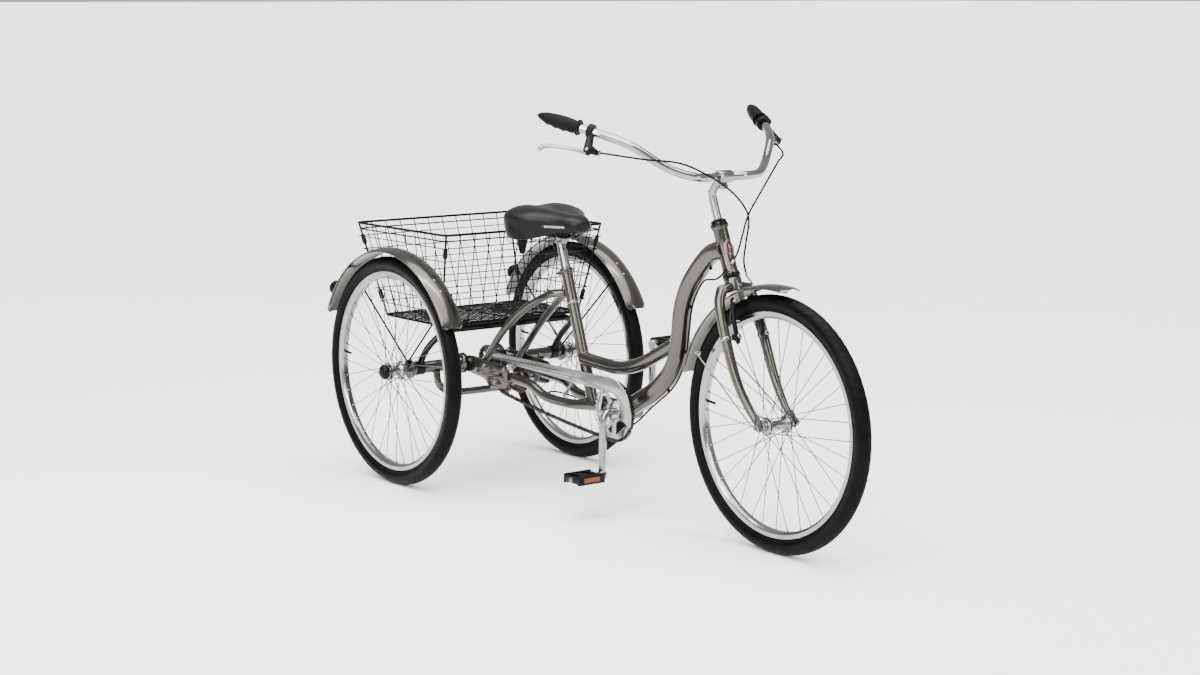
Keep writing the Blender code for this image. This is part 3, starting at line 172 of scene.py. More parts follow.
@dataclass(frozen=True)
class Layout:
    """The tricycle's driving sizes, in metres and degrees, and the places that follow from them."""

    rim_radius: float = 0.2855
    tyre_rise: float = 0.0208
    tyre_section: float = 0.0214
    half_track: float = 0.32
    head_angle: float = 68.5
    fork_rake: float = 0.033
    head_bottom: float = 0.402
    head_top: float = 0.526
    cup_height: float = 0.01
    crown_height: float = 0.366
    head_joint_rise: float = 0.065
    seat_angle: float = 71.0
    seat_setback: float = 0.156
    seat_tube_length: float = 0.378
    post_top: float = 0.452
    plate_offset: float = 0.075
    fender_radius: float = 0.353
    fender_half_width: float = 0.034
    fender_crown: float = 0.01
    pitch: float = 0.0127
    chain_line: float = -0.047
    axle_chain_line: float = 0.004

    front_axle: Vector = field(default_factory=lambda: joint_place("front_wheel_spin"))
    rear_axle: Vector = field(default_factory=lambda: joint_place("drive_wheel_spin"))
    bracket: Vector = field(default_factory=lambda: joint_place("crank_spin"))
    mid_hub: Vector = field(default_factory=lambda: joint_place("mid_hub_spin"))

    @property
    def steer_up(self) -> Vector:
        """The steering axis's direction."""
        angle = math.radians(self.head_angle)
        return Vector((-math.cos(angle), 0.0, math.sin(angle)))

    @property
    def steer_forward(self) -> Vector:
        """The direction ahead of the steering axis, square to it."""
        return Vector((self.steer_up.z, 0.0, -self.steer_up.x))

    @property
    def seat_up(self) -> Vector:
        """The seat tube's direction."""
        angle = math.radians(self.seat_angle)
        return Vector((-math.cos(angle), 0.0, math.sin(angle)))

    def on_steering(self, up: float, forward: float = 0.0, across: float = 0.0) -> Vector:
        """Return the point that lies so far up, ahead of and beside the steering axis."""
        foot = self.front_axle - self.fork_rake * self.steer_forward
        return foot + up * self.steer_up + forward * self.steer_forward + across * ACROSS

    def on_seat_tube(self, up: float, forward: float = 0.0, across: float = 0.0) -> Vector:
        """Return the point that lies so far up, ahead of and beside the seat tube's axis."""
        ahead = Vector((self.seat_up.z, 0.0, -self.seat_up.x))
        foot = self.bracket - Vector((self.seat_setback, 0.0, 0.0))
        return foot + up * self.seat_up + forward * ahead + across * ACROSS

    def pitch_radius(self, teeth: int) -> float:
        """Return the radius of the circle that a chain's pins follow on a sprocket."""
        return self.pitch / (2 * math.sin(math.pi / teeth))

    def bar_half(self) -> list[Vector]:
        """Return the left side of the handlebar, from the clamp to the end inside the grip."""
        clamp = self.on_steering(0.641, 0.06)
        offsets = (
            (0.0, 0.0, 0.0), (0.014, 0.06, 0.001), (0.01, 0.11, 0.006), (-0.03, 0.166, 0.03),
            (-0.082, 0.228, 0.08), (-0.138, 0.268, 0.105), (-0.204, 0.3015, 0.124), (-0.2686, 0.3342, 0.1426),
        )
        return [clamp + Vector(offset) for offset in offsets]


L = Layout()


# ---------------------------------------------------------------- shapes
class Shape:
    """A mesh that grows by swept bars, turned rings, plates and blocks, all in the frame's metres."""

    def __init__(self) -> None:
        """Start with nothing."""
        self.points: list[Vector] = []
        self.faces: list[tuple[int, ...]] = []

    def take(self, points: Sequence[Vector], faces: Sequence[Sequence[int]],
             place: Matrix | None = None) -> None:
        """Add points and faces.

        Args:
            points: the new points.
            faces: the new faces, which count from the first new point.
            place: moves the new points, where it is given.
        """
        start = len(self.points)
        self.points += [place @ Vector(point) if place else Vector(point) for point in points]
        self.faces += [tuple(start + index for index in face) for face in faces]

    def merge(self, other: Shape, place: Matrix | None = None) -> Shape:
        """Add a copy of another shape.

        Args:
            other: the shape to copy.
            place: moves the copy, where it is given.

        Returns:
            This shape.
        """
        self.take(other.points, other.faces, place)
        return self

    def bar(
        self, points: Sequence[Vector], radius: float, sides: int = 16, closed: bool = False,
        scales: Sequence[float] | None = None, domed: bool = False, flat: float = 1.0,
    ) -> Shape:
        """Add a round bar along the points.

        Args:
            points: the bar's middle line.
            radius: the bar's radius.
            sides: how many sides its section has.
            closed: whether it comes back to its start.
            scales: what the radius is multiplied by at each point.
            domed: whether its ends are round.
            flat: how much of its width is left across its own second direction.

        Returns:
            This shape.
        """
        path = [Vector(point) for point in points]
        widths = [radius * scale for scale in scales] if scales else [radius] * len(path)
        if domed:
            first, last = (path[0] - path[1]).normalized(), (path[-1] - path[-2]).normalized()
            lead = [path[0] + first * widths[0] * math.sin(math.radians(a)) for a in (80, 52, 26)]
            tail = [path[-1] + last * widths[-1] * math.sin(math.radians(a)) for a in (26, 52, 80)]
            ease = [math.cos(math.radians(a)) for a in (80, 52, 26)]
            widths = [widths[0] * e for e in ease] + widths + [widths[-1] * e for e in reversed(ease)]
            path = lead + path + tail
        count = len(path)
        tangents = []
        for index in range(count):
            before = path[index - 1] if index or closed else path[0]
            after = path[(index + 1) % count] if index < count - 1 or closed else path[-1]
            tangents.append((after - before).normalized())
        seed = UP if abs(tangents[0].z) < 0.9 else Vector((1.0, 0.0, 0.0))
        normal = (seed - seed.dot(tangents[0]) * tangents[0]).normalized()
        rings = []
        for index, (point, tangent, width) in enumerate(zip(path, tangents, widths)):
            if index:
                normal = tangents[index - 1].rotation_difference(tangent) @ normal
            side = tangent.cross(normal)
            rings.append([point + width * (math.cos(a) * normal + flat * math.sin(a) * side) for a in turns(sides)])
        return self.loft(rings, closed)

    def loft(self, rings: Sequence[Sequence[Vector]], closed: bool = False,
             place: Matrix | None = None) -> Shape:
        """Add the skin that joins a row of closed outlines.

        Args:
            rings: the outlines, each with the same number of points.
            closed: whether the last outline joins the first; otherwise both ends are capped.
            place: moves the skin, where it is given.

        Returns:
            This shape.
        """
        count, sides = len(rings), len(rings[0])
        faces = []
        for ring in range(count if closed else count - 1):
            following = (ring + 1) % count
            for index in range(sides):
                after = (index + 1) % sides
                faces.append((ring * sides + index, ring * sides + after, following * sides + after,
                              following * sides + index))
        if not closed:
            faces.append(tuple(range(sides))[::-1])
            faces.append(tuple((count - 1) * sides + index for index in range(sides)))
        self.take([point for ring in rings for point in ring], faces, place)
        return self

    def turned(
        self, profile: Outline, place: Matrix, segments: int = 32, ring: bool = False,
        carve: Callable[[int, float], float] | None = None,
    ) -> Shape:
        """Add what a profile makes when it turns about the place's Z.

        Args:
            profile: (radius, height) points.
            place: where the turned shape goes.
            segments: how many steps a full turn has.
            ring: whether the profile's last point joins its first.
            carve: gives how far a profile point sinks inwards at an angle, where it is given.

        Returns:
            This shape.
        """
        count = len(profile)
        points, faces = [], []
        for angle in turns(segments):
            for index, (radius, height) in enumerate(profile):
                depth = carve(index, angle) if carve else 0.0
                points.append(Vector(((radius - depth) * math.cos(angle), (radius - depth) * math.sin(angle),
                                      height)))
        for segment in range(segments):
            following = (segment + 1) % segments
            for index in range(count if ring else count - 1):
                after = (index + 1) % count
                faces.append((segment * count + index, following * count + index, following * count + after,
                              segment * count + after))
        self.take(points, faces, place)
        return self

    def block(self, size: tuple[float, float, float], place: Matrix, bevel: float = 0.001) -> Shape:
        """Add a box with rounded edges.

        Args:
            size: its length along each local axis.
            place: where its middle goes.
            bevel: the radius of its edges.

        Returns:
            This shape.
        """
        form = bmesh.new()
        bmesh.ops.create_cube(form, size=1.0, matrix=Matrix.Diagonal((*size, 1.0)))
        bmesh.ops.bevel(form, geom=form.edges[:], offset=bevel, segments=2, affect="EDGES", profile=0.5)
        self._take_form(form, place)
        return self

    def plate(
        self, outline: Outline, thickness: float, place: Matrix,
        holes: Sequence[tuple[float, float, float]] = (), bevel: float = 0.0, slots: Sequence[Outline] = (),
    ) -> Shape:
        """Add a flat plate.

        Args:
            outline: its edge in the local XY plane.
            thickness: its thickness along local Z.
            place: where it goes.
            holes: round holes, as (x, y, radius).
            bevel: the radius of its edges.
            slots: other holes, each as an outline.

        Returns:
            This shape.
        """
        curve = bpy.data.curves.new("plate", "CURVE")
        curve.dimensions = "2D"
        curve.fill_mode = "BOTH"
        curve.extrude = thickness / 2 - bevel
        curve.bevel_depth = bevel
        curve.offset = -bevel
        curve.bevel_resolution = 1
        round_holes = [[(x + r * math.cos(a), y + r * math.sin(a)) for a in turns(20)] for x, y, r in holes]
        for edge in (outline, *round_holes, *slots):
            spline = curve.splines.new("POLY")
            spline.points.add(len(edge) - 1)
            for point, (x, y) in zip(spline.points, edge):
                point.co = (x, y, 0.0, 1.0)
            spline.use_cyclic_u = True
        holder = bpy.data.objects.new("plate", curve)
        bpy.context.scene.collection.objects.link(holder)
        bpy.context.view_layer.update()
        mesh = bpy.data.meshes.new_from_object(holder.evaluated_get(bpy.context.evaluated_depsgraph_get()))
        bpy.data.objects.remove(holder, do_unlink=True)
        form = bmesh.new()
        form.from_mesh(mesh)
        bpy.data.meshes.remove(mesh)
        bmesh.ops.remove_doubles(form, verts=form.verts, dist=1e-6)
        self._take_form(form, place)
        return self

    def nut(self, place: Matrix, radius: float, height: float) -> Shape:
        """Add a hexagon nut with a domed bolt end in it.

        Args:
            place: the middle of the nut's seat, with Z outwards.
            radius: the nut's radius to its corners.
            height: how tall the nut is.

        Returns:
            This shape.
        """
        self.turned([(0.0005, 0.0), (radius, 0.0), (radius, height * 0.85), (radius * 0.86, height),
                     (0.0005, height)], place, 6)
        end = radius * 0.5
        self.turned([(end, height * 0.9), (end, height * 1.35), (end * 0.7, height * 1.55),
                     (0.0003, height * 1.6)], place, 14)
        return self

    def _take_form(self, form: bmesh.types.BMesh, place: Matrix) -> None:
        """Add a bmesh form and free it."""
        form.verts.index_update()
        self.take([vert.co.copy() for vert in form.verts],
                  [[vert.index for vert in face.verts] for face in form.faces], place)
        form.free()

    def build(self, name: str, sharp: float = 38.0) -> bpy.types.Object:
        """Make the object.

        Args:
            name: the object's name.
            sharp: edges sharper than this angle, in degrees, are kept crisp.

        Returns:
            The object, linked to the scene.
        """
        mesh = bpy.data.meshes.new(name)
        mesh.from_pydata([tuple(point) for point in self.points], [], self.faces)
        form = bmesh.new()
        form.from_mesh(mesh)
        bmesh.ops.remove_doubles(form, verts=form.verts, dist=2e-6)
        bmesh.ops.dissolve_degenerate(form, dist=1e-7, edges=form.edges)
        bmesh.ops.recalc_face_normals(form, faces=form.faces)
        form.to_mesh(mesh)
        form.free()
        mesh.shade_smooth()
        mesh.set_sharp_from_angle(angle=math.radians(sharp))
        obj = bpy.data.objects.new(name, mesh)
        bpy.context.scene.collection.objects.link(obj)
        return obj


def put(
    shape: Shape | bpy.types.Object, name: str, finish: Finish, body: str,
    replaces: Sequence[str] = (), sharp: float = 38.0,
) -> bpy.types.Object:
    """Build a piece, dress it and let it ride on its body.

    Args:
        shape: the piece's shape, or an object that is already built.
        name: the piece's name.
        finish: the finish it is dressed in.
        body: the body that it rides on.
        replaces: the CAD nodes that it stands for.
        sharp: the angle, in degrees, over which an edge is kept crisp.

    Returns:
        The finished piece.
    """
    obj = shape.build(name, sharp) if isinstance(shape, Shape) else shape
    finish.dress(obj)
    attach(obj, body)
    if replaces:
        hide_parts(*replaces)
    LOG.info("%s: %d faces", name, len(obj.data.polygons))
    return obj


# ---------------------------------------------------------------- finishes
class Grain(Enum):
    """The small relief of a finish."""

    FINE = "fine"
    PEBBLE = "pebble"
    RINGED = "ringed"
    BRUSHED = "brushed"
    PRISM = "prism"


class Bench:
    """A node tree with short calls for the nodes that the finishes share."""

    def __init__(self, name: str) -> None:
        """Make a material with an empty Principled shader.

        Args:
            name: the material's name.
        """
        self.material = bpy.data.materials.new(name)
        self.material.use_nodes = True
        self.tree = self.material.node_tree
        self.shader = self.tree.nodes["Principled BSDF"]
        self.coordinates = self.tree.nodes.new("ShaderNodeTexCoord").outputs["Object"]

    def node(self, kind: str, inputs: dict | None = None, **settings: object) -> bpy.types.Node:
        """Add a node.

        Args:
            kind: the node's type, without its ShaderNode prefix.
            inputs: values or sockets for its inputs, by name or number.
            settings: the node's own properties.

        Returns:
            The node.
        """
        made = self.tree.nodes.new("ShaderNode" + kind)
        for key, value in settings.items():
            setattr(made, key, value)
        for key, value in (inputs or {}).items():
            if isinstance(value, bpy.types.NodeSocket):
                self.tree.links.new(value, made.inputs[key])
            else:
                made.inputs[key].default_value = value
        return made

    def moved(self, origin: Vector,
              stretch: tuple[float, float, float] = (1.0, 1.0, 1.0)) -> bpy.types.NodeSocket:
        """Return coordinates that count from an origin.

        Args:
            origin: the point that becomes zero.
            stretch: what each axis is multiplied by.

        Returns:
            The coordinates' socket.
        """
        shifted = self.node("VectorMath", {0: self.coordinates, 1: tuple(origin)}, operation="SUBTRACT")
        return self.node("VectorMath", {0: shifted.outputs[0], 1: stretch}, operation="MULTIPLY").outputs[0]

    def noise(self, scale: float, detail: float = 3.0, vector: bpy.types.NodeSocket | None = None,
              distortion: float = 0.0) -> bpy.types.NodeSocket:
        """Return a noise's value."""
        made = self.node("TexNoise", {"Vector": vector or self.coordinates, "Scale": scale, "Detail": detail,
                                      "Distortion": distortion})
        return made.outputs["Fac"]

    def ramp(self, value: bpy.types.NodeSocket, low: float, high: float, start: float = 0.0,
             end: float = 1.0) -> bpy.types.NodeSocket:
        """Return a value mapped from low..high to start..end and clamped."""
        return self.node("MapRange", {0: value, 1: low, 2: high, 3: start, 4: end}).outputs[0]

    def mix(self, share: bpy.types.NodeSocket, first: object, second: object) -> bpy.types.NodeSocket:
        """Return one colour turned into another by a share."""
        made = self.node("Mix", data_type="RGBA")
        for socket, value in ((made.inputs[0], share), (made.inputs[6], first), (made.inputs[7], second)):
            if isinstance(value, bpy.types.NodeSocket):
                self.tree.links.new(value, socket)
            else:
                socket.default_value = (*value, 1.0)
        return made.outputs[2]

    def maths(self, operation: str, first: object, second: object = 0.0) -> bpy.types.NodeSocket:
        """Return the result of a Math node."""
        return self.node("Math", {0: first, 1: second}, operation=operation).outputs[0]

    def inside(self, low: Vector, high: Vector, soft: float = 0.001) -> bpy.types.NodeSocket:
        """Return 1 inside a box of the object's own coordinates and 0 outside it.

        Args:
            low: the box's lowest corner.
            high: its highest corner.
            soft: how far its edge fades.

        Returns:
            The mask's socket.
        """
        parts = self.node("SeparateXYZ", {0: self.coordinates})
        mask = None
        for axis in range(3):
            rising = self.ramp(parts.outputs[axis], low[axis] - soft, low[axis])
            falling = self.ramp(parts.outputs[axis], high[axis], high[axis] + soft, 1.0, 0.0)
            both = self.maths("MULTIPLY", rising, falling)
            mask = both if mask is None else self.maths("MULTIPLY", mask, both)
        return mask

    def link(self, value: bpy.types.NodeSocket, name: str) -> None:
        """Drive one of the shader's inputs."""
        self.tree.links.new(value, self.shader.inputs[name])

    def bump(self, height: bpy.types.NodeSocket, distance: float, strength: float = 1.0,
             normal: bpy.types.NodeSocket | None = None) -> bpy.types.NodeSocket:
        """Return a normal bent by a height.

        Args:
            height: the relief, from 0 to 1.
            distance: how tall 1 is, in metres.
            strength: how strongly the relief shows.
            normal: an earlier relief that this one lies on.

        Returns:
            The normal's socket.
        """
        inputs = {"Height": height, "Distance": distance, "Strength": strength}
        if normal:
            inputs["Normal"] = normal
        return self.node("Bump", inputs).outputs[0]


@dataclass(frozen=True)
class Finish:
    """A finish with slow mottling of colour and gloss and a fine relief."""

    name: str
    colour: Colour
    tint: Colour
    gloss: tuple[float, float] = (0.3, 0.4)
    metallic: float = 0.0
    coat: float = 0.0
    coat_roughness: float = 0.08
    specular: float = 0.5
    mottle: float = 18.0
    grain: Grain = Grain.FINE
    grain_scale: float = 700.0
    grain_height: float = 0.00003
    centre: Vector | None = None

    def relief(self, bench: Bench) -> bpy.types.NodeSocket:
        """Return the height of the finish's small relief."""
        if self.grain is Grain.PEBBLE:
            cells = bench.node("TexVoronoi", {"Vector": bench.coordinates, "Scale": self.grain_scale})
            return bench.ramp(cells.outputs["Distance"], 0.0, 0.6, 1.0, 0.0)
        if self.grain is Grain.RINGED:
            vector = bench.moved(self.centre or Vector((0.0, 0.0, 0.0)))
            rings = bench.node("TexWave", {"Vector": vector, "Scale": self.grain_scale, "Distortion": 0.6,
                                           "Detail": 2.0}, wave_type="RINGS", rings_direction="Y")
            return rings.outputs["Fac"]
        if self.grain is Grain.BRUSHED:
            return bench.noise(self.grain_scale, 4.0, bench.moved(Vector((0.0, 0.0, 0.0)), (1.0, 1.0, 0.06)))
        if self.grain is Grain.PRISM:
            cells = bench.node("TexVoronoi", {"Vector": bench.coordinates, "Scale": self.grain_scale,
                                              "Randomness": 0.0}, feature="F1", distance="MANHATTAN")
            return cells.outputs["Distance"]
        return bench.noise(self.grain_scale, 4.0)

    def paint(self, bench: Bench) -> bpy.types.NodeSocket:
        """Return the colour, with its slow mottling."""
        return bench.mix(bench.ramp(bench.noise(self.mottle, 5.0), 0.35, 0.65), self.colour, self.tint)

    def roughness(self, bench: Bench) -> bpy.types.NodeSocket:
        """Return the roughness, with its own mottling."""
        return bench.ramp(bench.noise(self.mottle * 2.7, 6.0), 0.3, 0.7, *self.gloss)

    def normal(self, bench: Bench) -> bpy.types.NodeSocket:
        """Return the normal with the small relief on it."""
        return bench.bump(self.relief(bench), self.grain_height)

    def material(self) -> bpy.types.Material:
        """Return the finish's material, made once and shared."""
        held = bpy.data.materials.get(self.name)
        if held:
            return held
        bench = Bench(self.name)
        bench.shader.inputs["Metallic"].default_value = self.metallic
        bench.shader.inputs["Coat Weight"].default_value = self.coat
        bench.shader.inputs["Coat Roughness"].default_value = self.coat_roughness
        bench.shader.inputs["Specular IOR Level"].default_value = self.specular
        bench.link(self.paint(bench), "Base Color")
        bench.link(self.roughness(bench), "Roughness")
        bench.link(self.normal(bench), "Normal")
        return bench.material

    def dress(self, obj: bpy.types.Object) -> None:
        """Put the finish on every face of a piece."""
        obj.data.materials.clear()
        obj.data.materials.append(self.material())


@dataclass(frozen=True)
class FramePaint(Finish):
    """Bronze-grey metallic paint with pale scrollwork where a box asks for it."""

    scroll_low: tuple[float, float, float] | None = None
    scroll_high: tuple[float, float, float] = (0.0, 0.0, 0.0)
    scroll_colour: Colour = (0.24, 0.23, 0.22)

    def paint(self, bench: Bench) -> bpy.types.NodeSocket:
        """Return the paint's colour with fine metal flakes, and the scrollwork over it."""
        base = bench.mix(bench.ramp(bench.noise(self.mottle, 4.0), 0.35, 0.65), self.colour, self.tint)
        flakes = bench.ramp(bench.noise(2600.0, 1.0), 0.6, 0.72)
        base = bench.mix(bench.maths("MULTIPLY", flakes, 0.22), base, (0.19, 0.18, 0.165))
        if self.scroll_low is None:
            return base
        swirls = bench.node("TexWave", {"Vector": bench.coordinates, "Scale": 85.0, "Distortion": 6.0,
                                        "Detail": 1.0, "Detail Scale": 2.2}, wave_type="BANDS",
                            bands_direction="DIAGONAL")
        line = bench.maths("MULTIPLY", bench.ramp(swirls.outputs["Fac"], 0.93, 0.99), 0.55)
        mask = bench.inside(Vector(self.scroll_low), Vector(self.scroll_high), 0.012)
        return bench.mix(bench.maths("MULTIPLY", line, mask), base, self.scroll_colour)


@dataclass(frozen=True)
class GuardPaint(Finish):
    """Silver paint with thin dark lines along the rear half of the chain guard."""

    low: tuple[float, float, float] = (0.0, 0.0, 0.0)
    high: tuple[float, float, float] = (0.0, 0.0, 0.0)

    def paint(self, bench: Bench) -> bpy.types.NodeSocket:
        """Return the silver with its lines."""
        base = super().paint(bench)
        stripes = bench.node("TexWave",
                             {"Vector": bench.moved(Vector(self.low), (0.06, 0.0, 1.0)), "Scale": 36.0,
                                         "Distortion": 0.0}, wave_type="BANDS", bands_direction="Z")
        ink = bench.ramp(stripes.outputs["Fac"], 0.78, 0.86)
        mask = bench.inside(Vector(self.low), Vector(self.high), 0.001)
        return bench.mix(bench.maths("MULTIPLY", bench.maths("MULTIPLY", ink, mask), 0.8), base,
                         (0.02, 0.02, 0.022))


@dataclass(frozen=True)
class TyreRubber(Finish):
    """Black rubber with moulding rings round its axle under a fine pebble."""

    def normal(self, bench: Bench) -> bpy.types.NodeSocket:
        """Return the normal: moulding rings on the sidewalls under a fine pebble."""
        rings = bench.node("TexWave", {"Vector": bench.moved(self.centre), "Scale": 120.0, "Distortion": 0.0},
                           wave_type="RINGS", rings_direction="Y")
        first = bench.bump(rings.outputs["Fac"], 0.00012, 0.5)
        return bench.bump(self.relief(bench), self.grain_height, 1.0, first)


@dataclass(frozen=True)
class SaddleCover(Finish):
    """Imitation leather with a pale stripe on each flank."""

    stripe_low: tuple[float, float, float] = (0.0, 0.0, 0.0)
    stripe_high: tuple[float, float, float] = (0.0, 0.0, 0.0)

    def paint(self, bench: Bench) -> bpy.types.NodeSocket:
        """Return the black cover with a broken pale stripe."""
        base = super().paint(bench)
        marks = bench.node("TexWave", {"Vector": bench.coordinates, "Scale": 60.0, "Distortion": 4.0},
                           wave_type="BANDS", bands_direction="X")
        ink = bench.ramp(marks.outputs["Fac"], 0.35, 0.55)
        right = bench.inside(Vector(self.stripe_low), Vector(self.stripe_high), 0.0006)
        low, high = mirrored(Vector(self.stripe_high)), mirrored(Vector(self.stripe_low))
        low, high = Vector((high.x, low.y, high.z)), Vector((low.x, high.y, low.z))
        left = bench.inside(low, high, 0.0006)
        mask = bench.maths("MAXIMUM", right, left)
        return bench.mix(bench.maths("MULTIPLY", ink, mask), base, (0.4, 0.4, 0.41))


GREY_BRONZE = ((0.058, 0.054, 0.047), (0.074, 0.069, 0.06))
PAINT = FramePaint("bronze_grey_paint", *GREY_BRONZE, gloss=(0.16, 0.24), metallic=0.88, coat=0.25,
                   mottle=4.0,
                   grain_scale=2400.0, grain_height=0.000006)
CHROME = Finish("bright_plate", (0.27, 0.27, 0.275), (0.33, 0.33, 0.335), (0.06, 0.14), 1.0, mottle=25.0,
                grain_scale=500.0, grain_height=0.000006)
SATIN = Finish("satin_alloy", (0.22, 0.22, 0.225), (0.27, 0.27, 0.275), (0.18, 0.28), 1.0, mottle=22.0,
               grain=Grain.BRUSHED, grain_scale=900.0, grain_height=0.000012)
STEEL = Finish("zinc_steel", (0.15, 0.15, 0.15), (0.21, 0.21, 0.205), (0.22, 0.36), 1.0, mottle=60.0,
               grain_scale=900.0, grain_height=0.000015)
SPOKE_STEEL = Finish("spoke_steel", (0.03, 0.03, 0.03), (0.05, 0.05, 0.05), (0.16, 0.26), 1.0, mottle=60.0,
                     grain_scale=900.0, grain_height=0.00001)
BLACK_PLASTIC = Finish("moulded_black", (0.0025, 0.0025, 0.0027), (0.005, 0.005, 0.0053), (0.3, 0.44),
                       specular=0.09, mottle=40.0, grain_scale=1400.0, grain_height=0.00003)
BLACK_PAINT = Finish("black_enamel", (0.002, 0.002, 0.0022), (0.004, 0.004, 0.0043), (0.14, 0.24),
                     specular=0.12, mottle=30.0, grain_scale=260.0, grain_height=0.00002)
BLACK_WIRE = Finish("coated_wire", (0.0015, 0.0015, 0.0017), (0.0035, 0.0035, 0.0038), (0.24, 0.36),
                    specular=0.06,
                    mottle=50.0, grain_scale=500.0, grain_height=0.00002)
GRIP_RUBBER = Finish("grip_rubber", (0.0018, 0.0018, 0.002), (0.0036, 0.0036, 0.0039), (0.4, 0.56),
                     specular=0.07,
                     mottle=35.0, grain=Grain.PEBBLE, grain_scale=1100.0, grain_height=0.00006)
CABLE = Finish("cable_sleeve", (0.002, 0.002, 0.0022), (0.004, 0.004, 0.0043), (0.26, 0.38), specular=0.08,
               mottle=60.0, grain_scale=700.0, grain_height=0.00002)
CHAIN_STEEL = Finish("oiled_chain", (0.014, 0.012, 0.011), (0.04, 0.037, 0.033), (0.24, 0.4), 0.9,
                     mottle=90.0,
                     grain_scale=1200.0, grain_height=0.00002)
BROWN_STEEL = Finish("browned_steel", (0.04, 0.026, 0.018), (0.072, 0.05, 0.036), (0.26, 0.42), 0.85,
                     mottle=70.0,
                     grain_scale=1000.0, grain_height=0.00002)
RED_LENS = Finish("red_lens", (0.11, 0.002, 0.002), (0.17, 0.005, 0.004), (0.1, 0.18), coat=0.3, specular=0.2,
                  mottle=80.0, grain=Grain.PRISM, grain_scale=420.0, grain_height=0.0006)
AMBER_LENS = Finish("amber_lens", (0.11, 0.027, 0.003), (0.17, 0.045, 0.005), (0.12, 0.2), coat=0.2,
                    specular=0.2,
                    mottle=80.0, grain=Grain.PRISM, grain_scale=520.0, grain_height=0.0006)


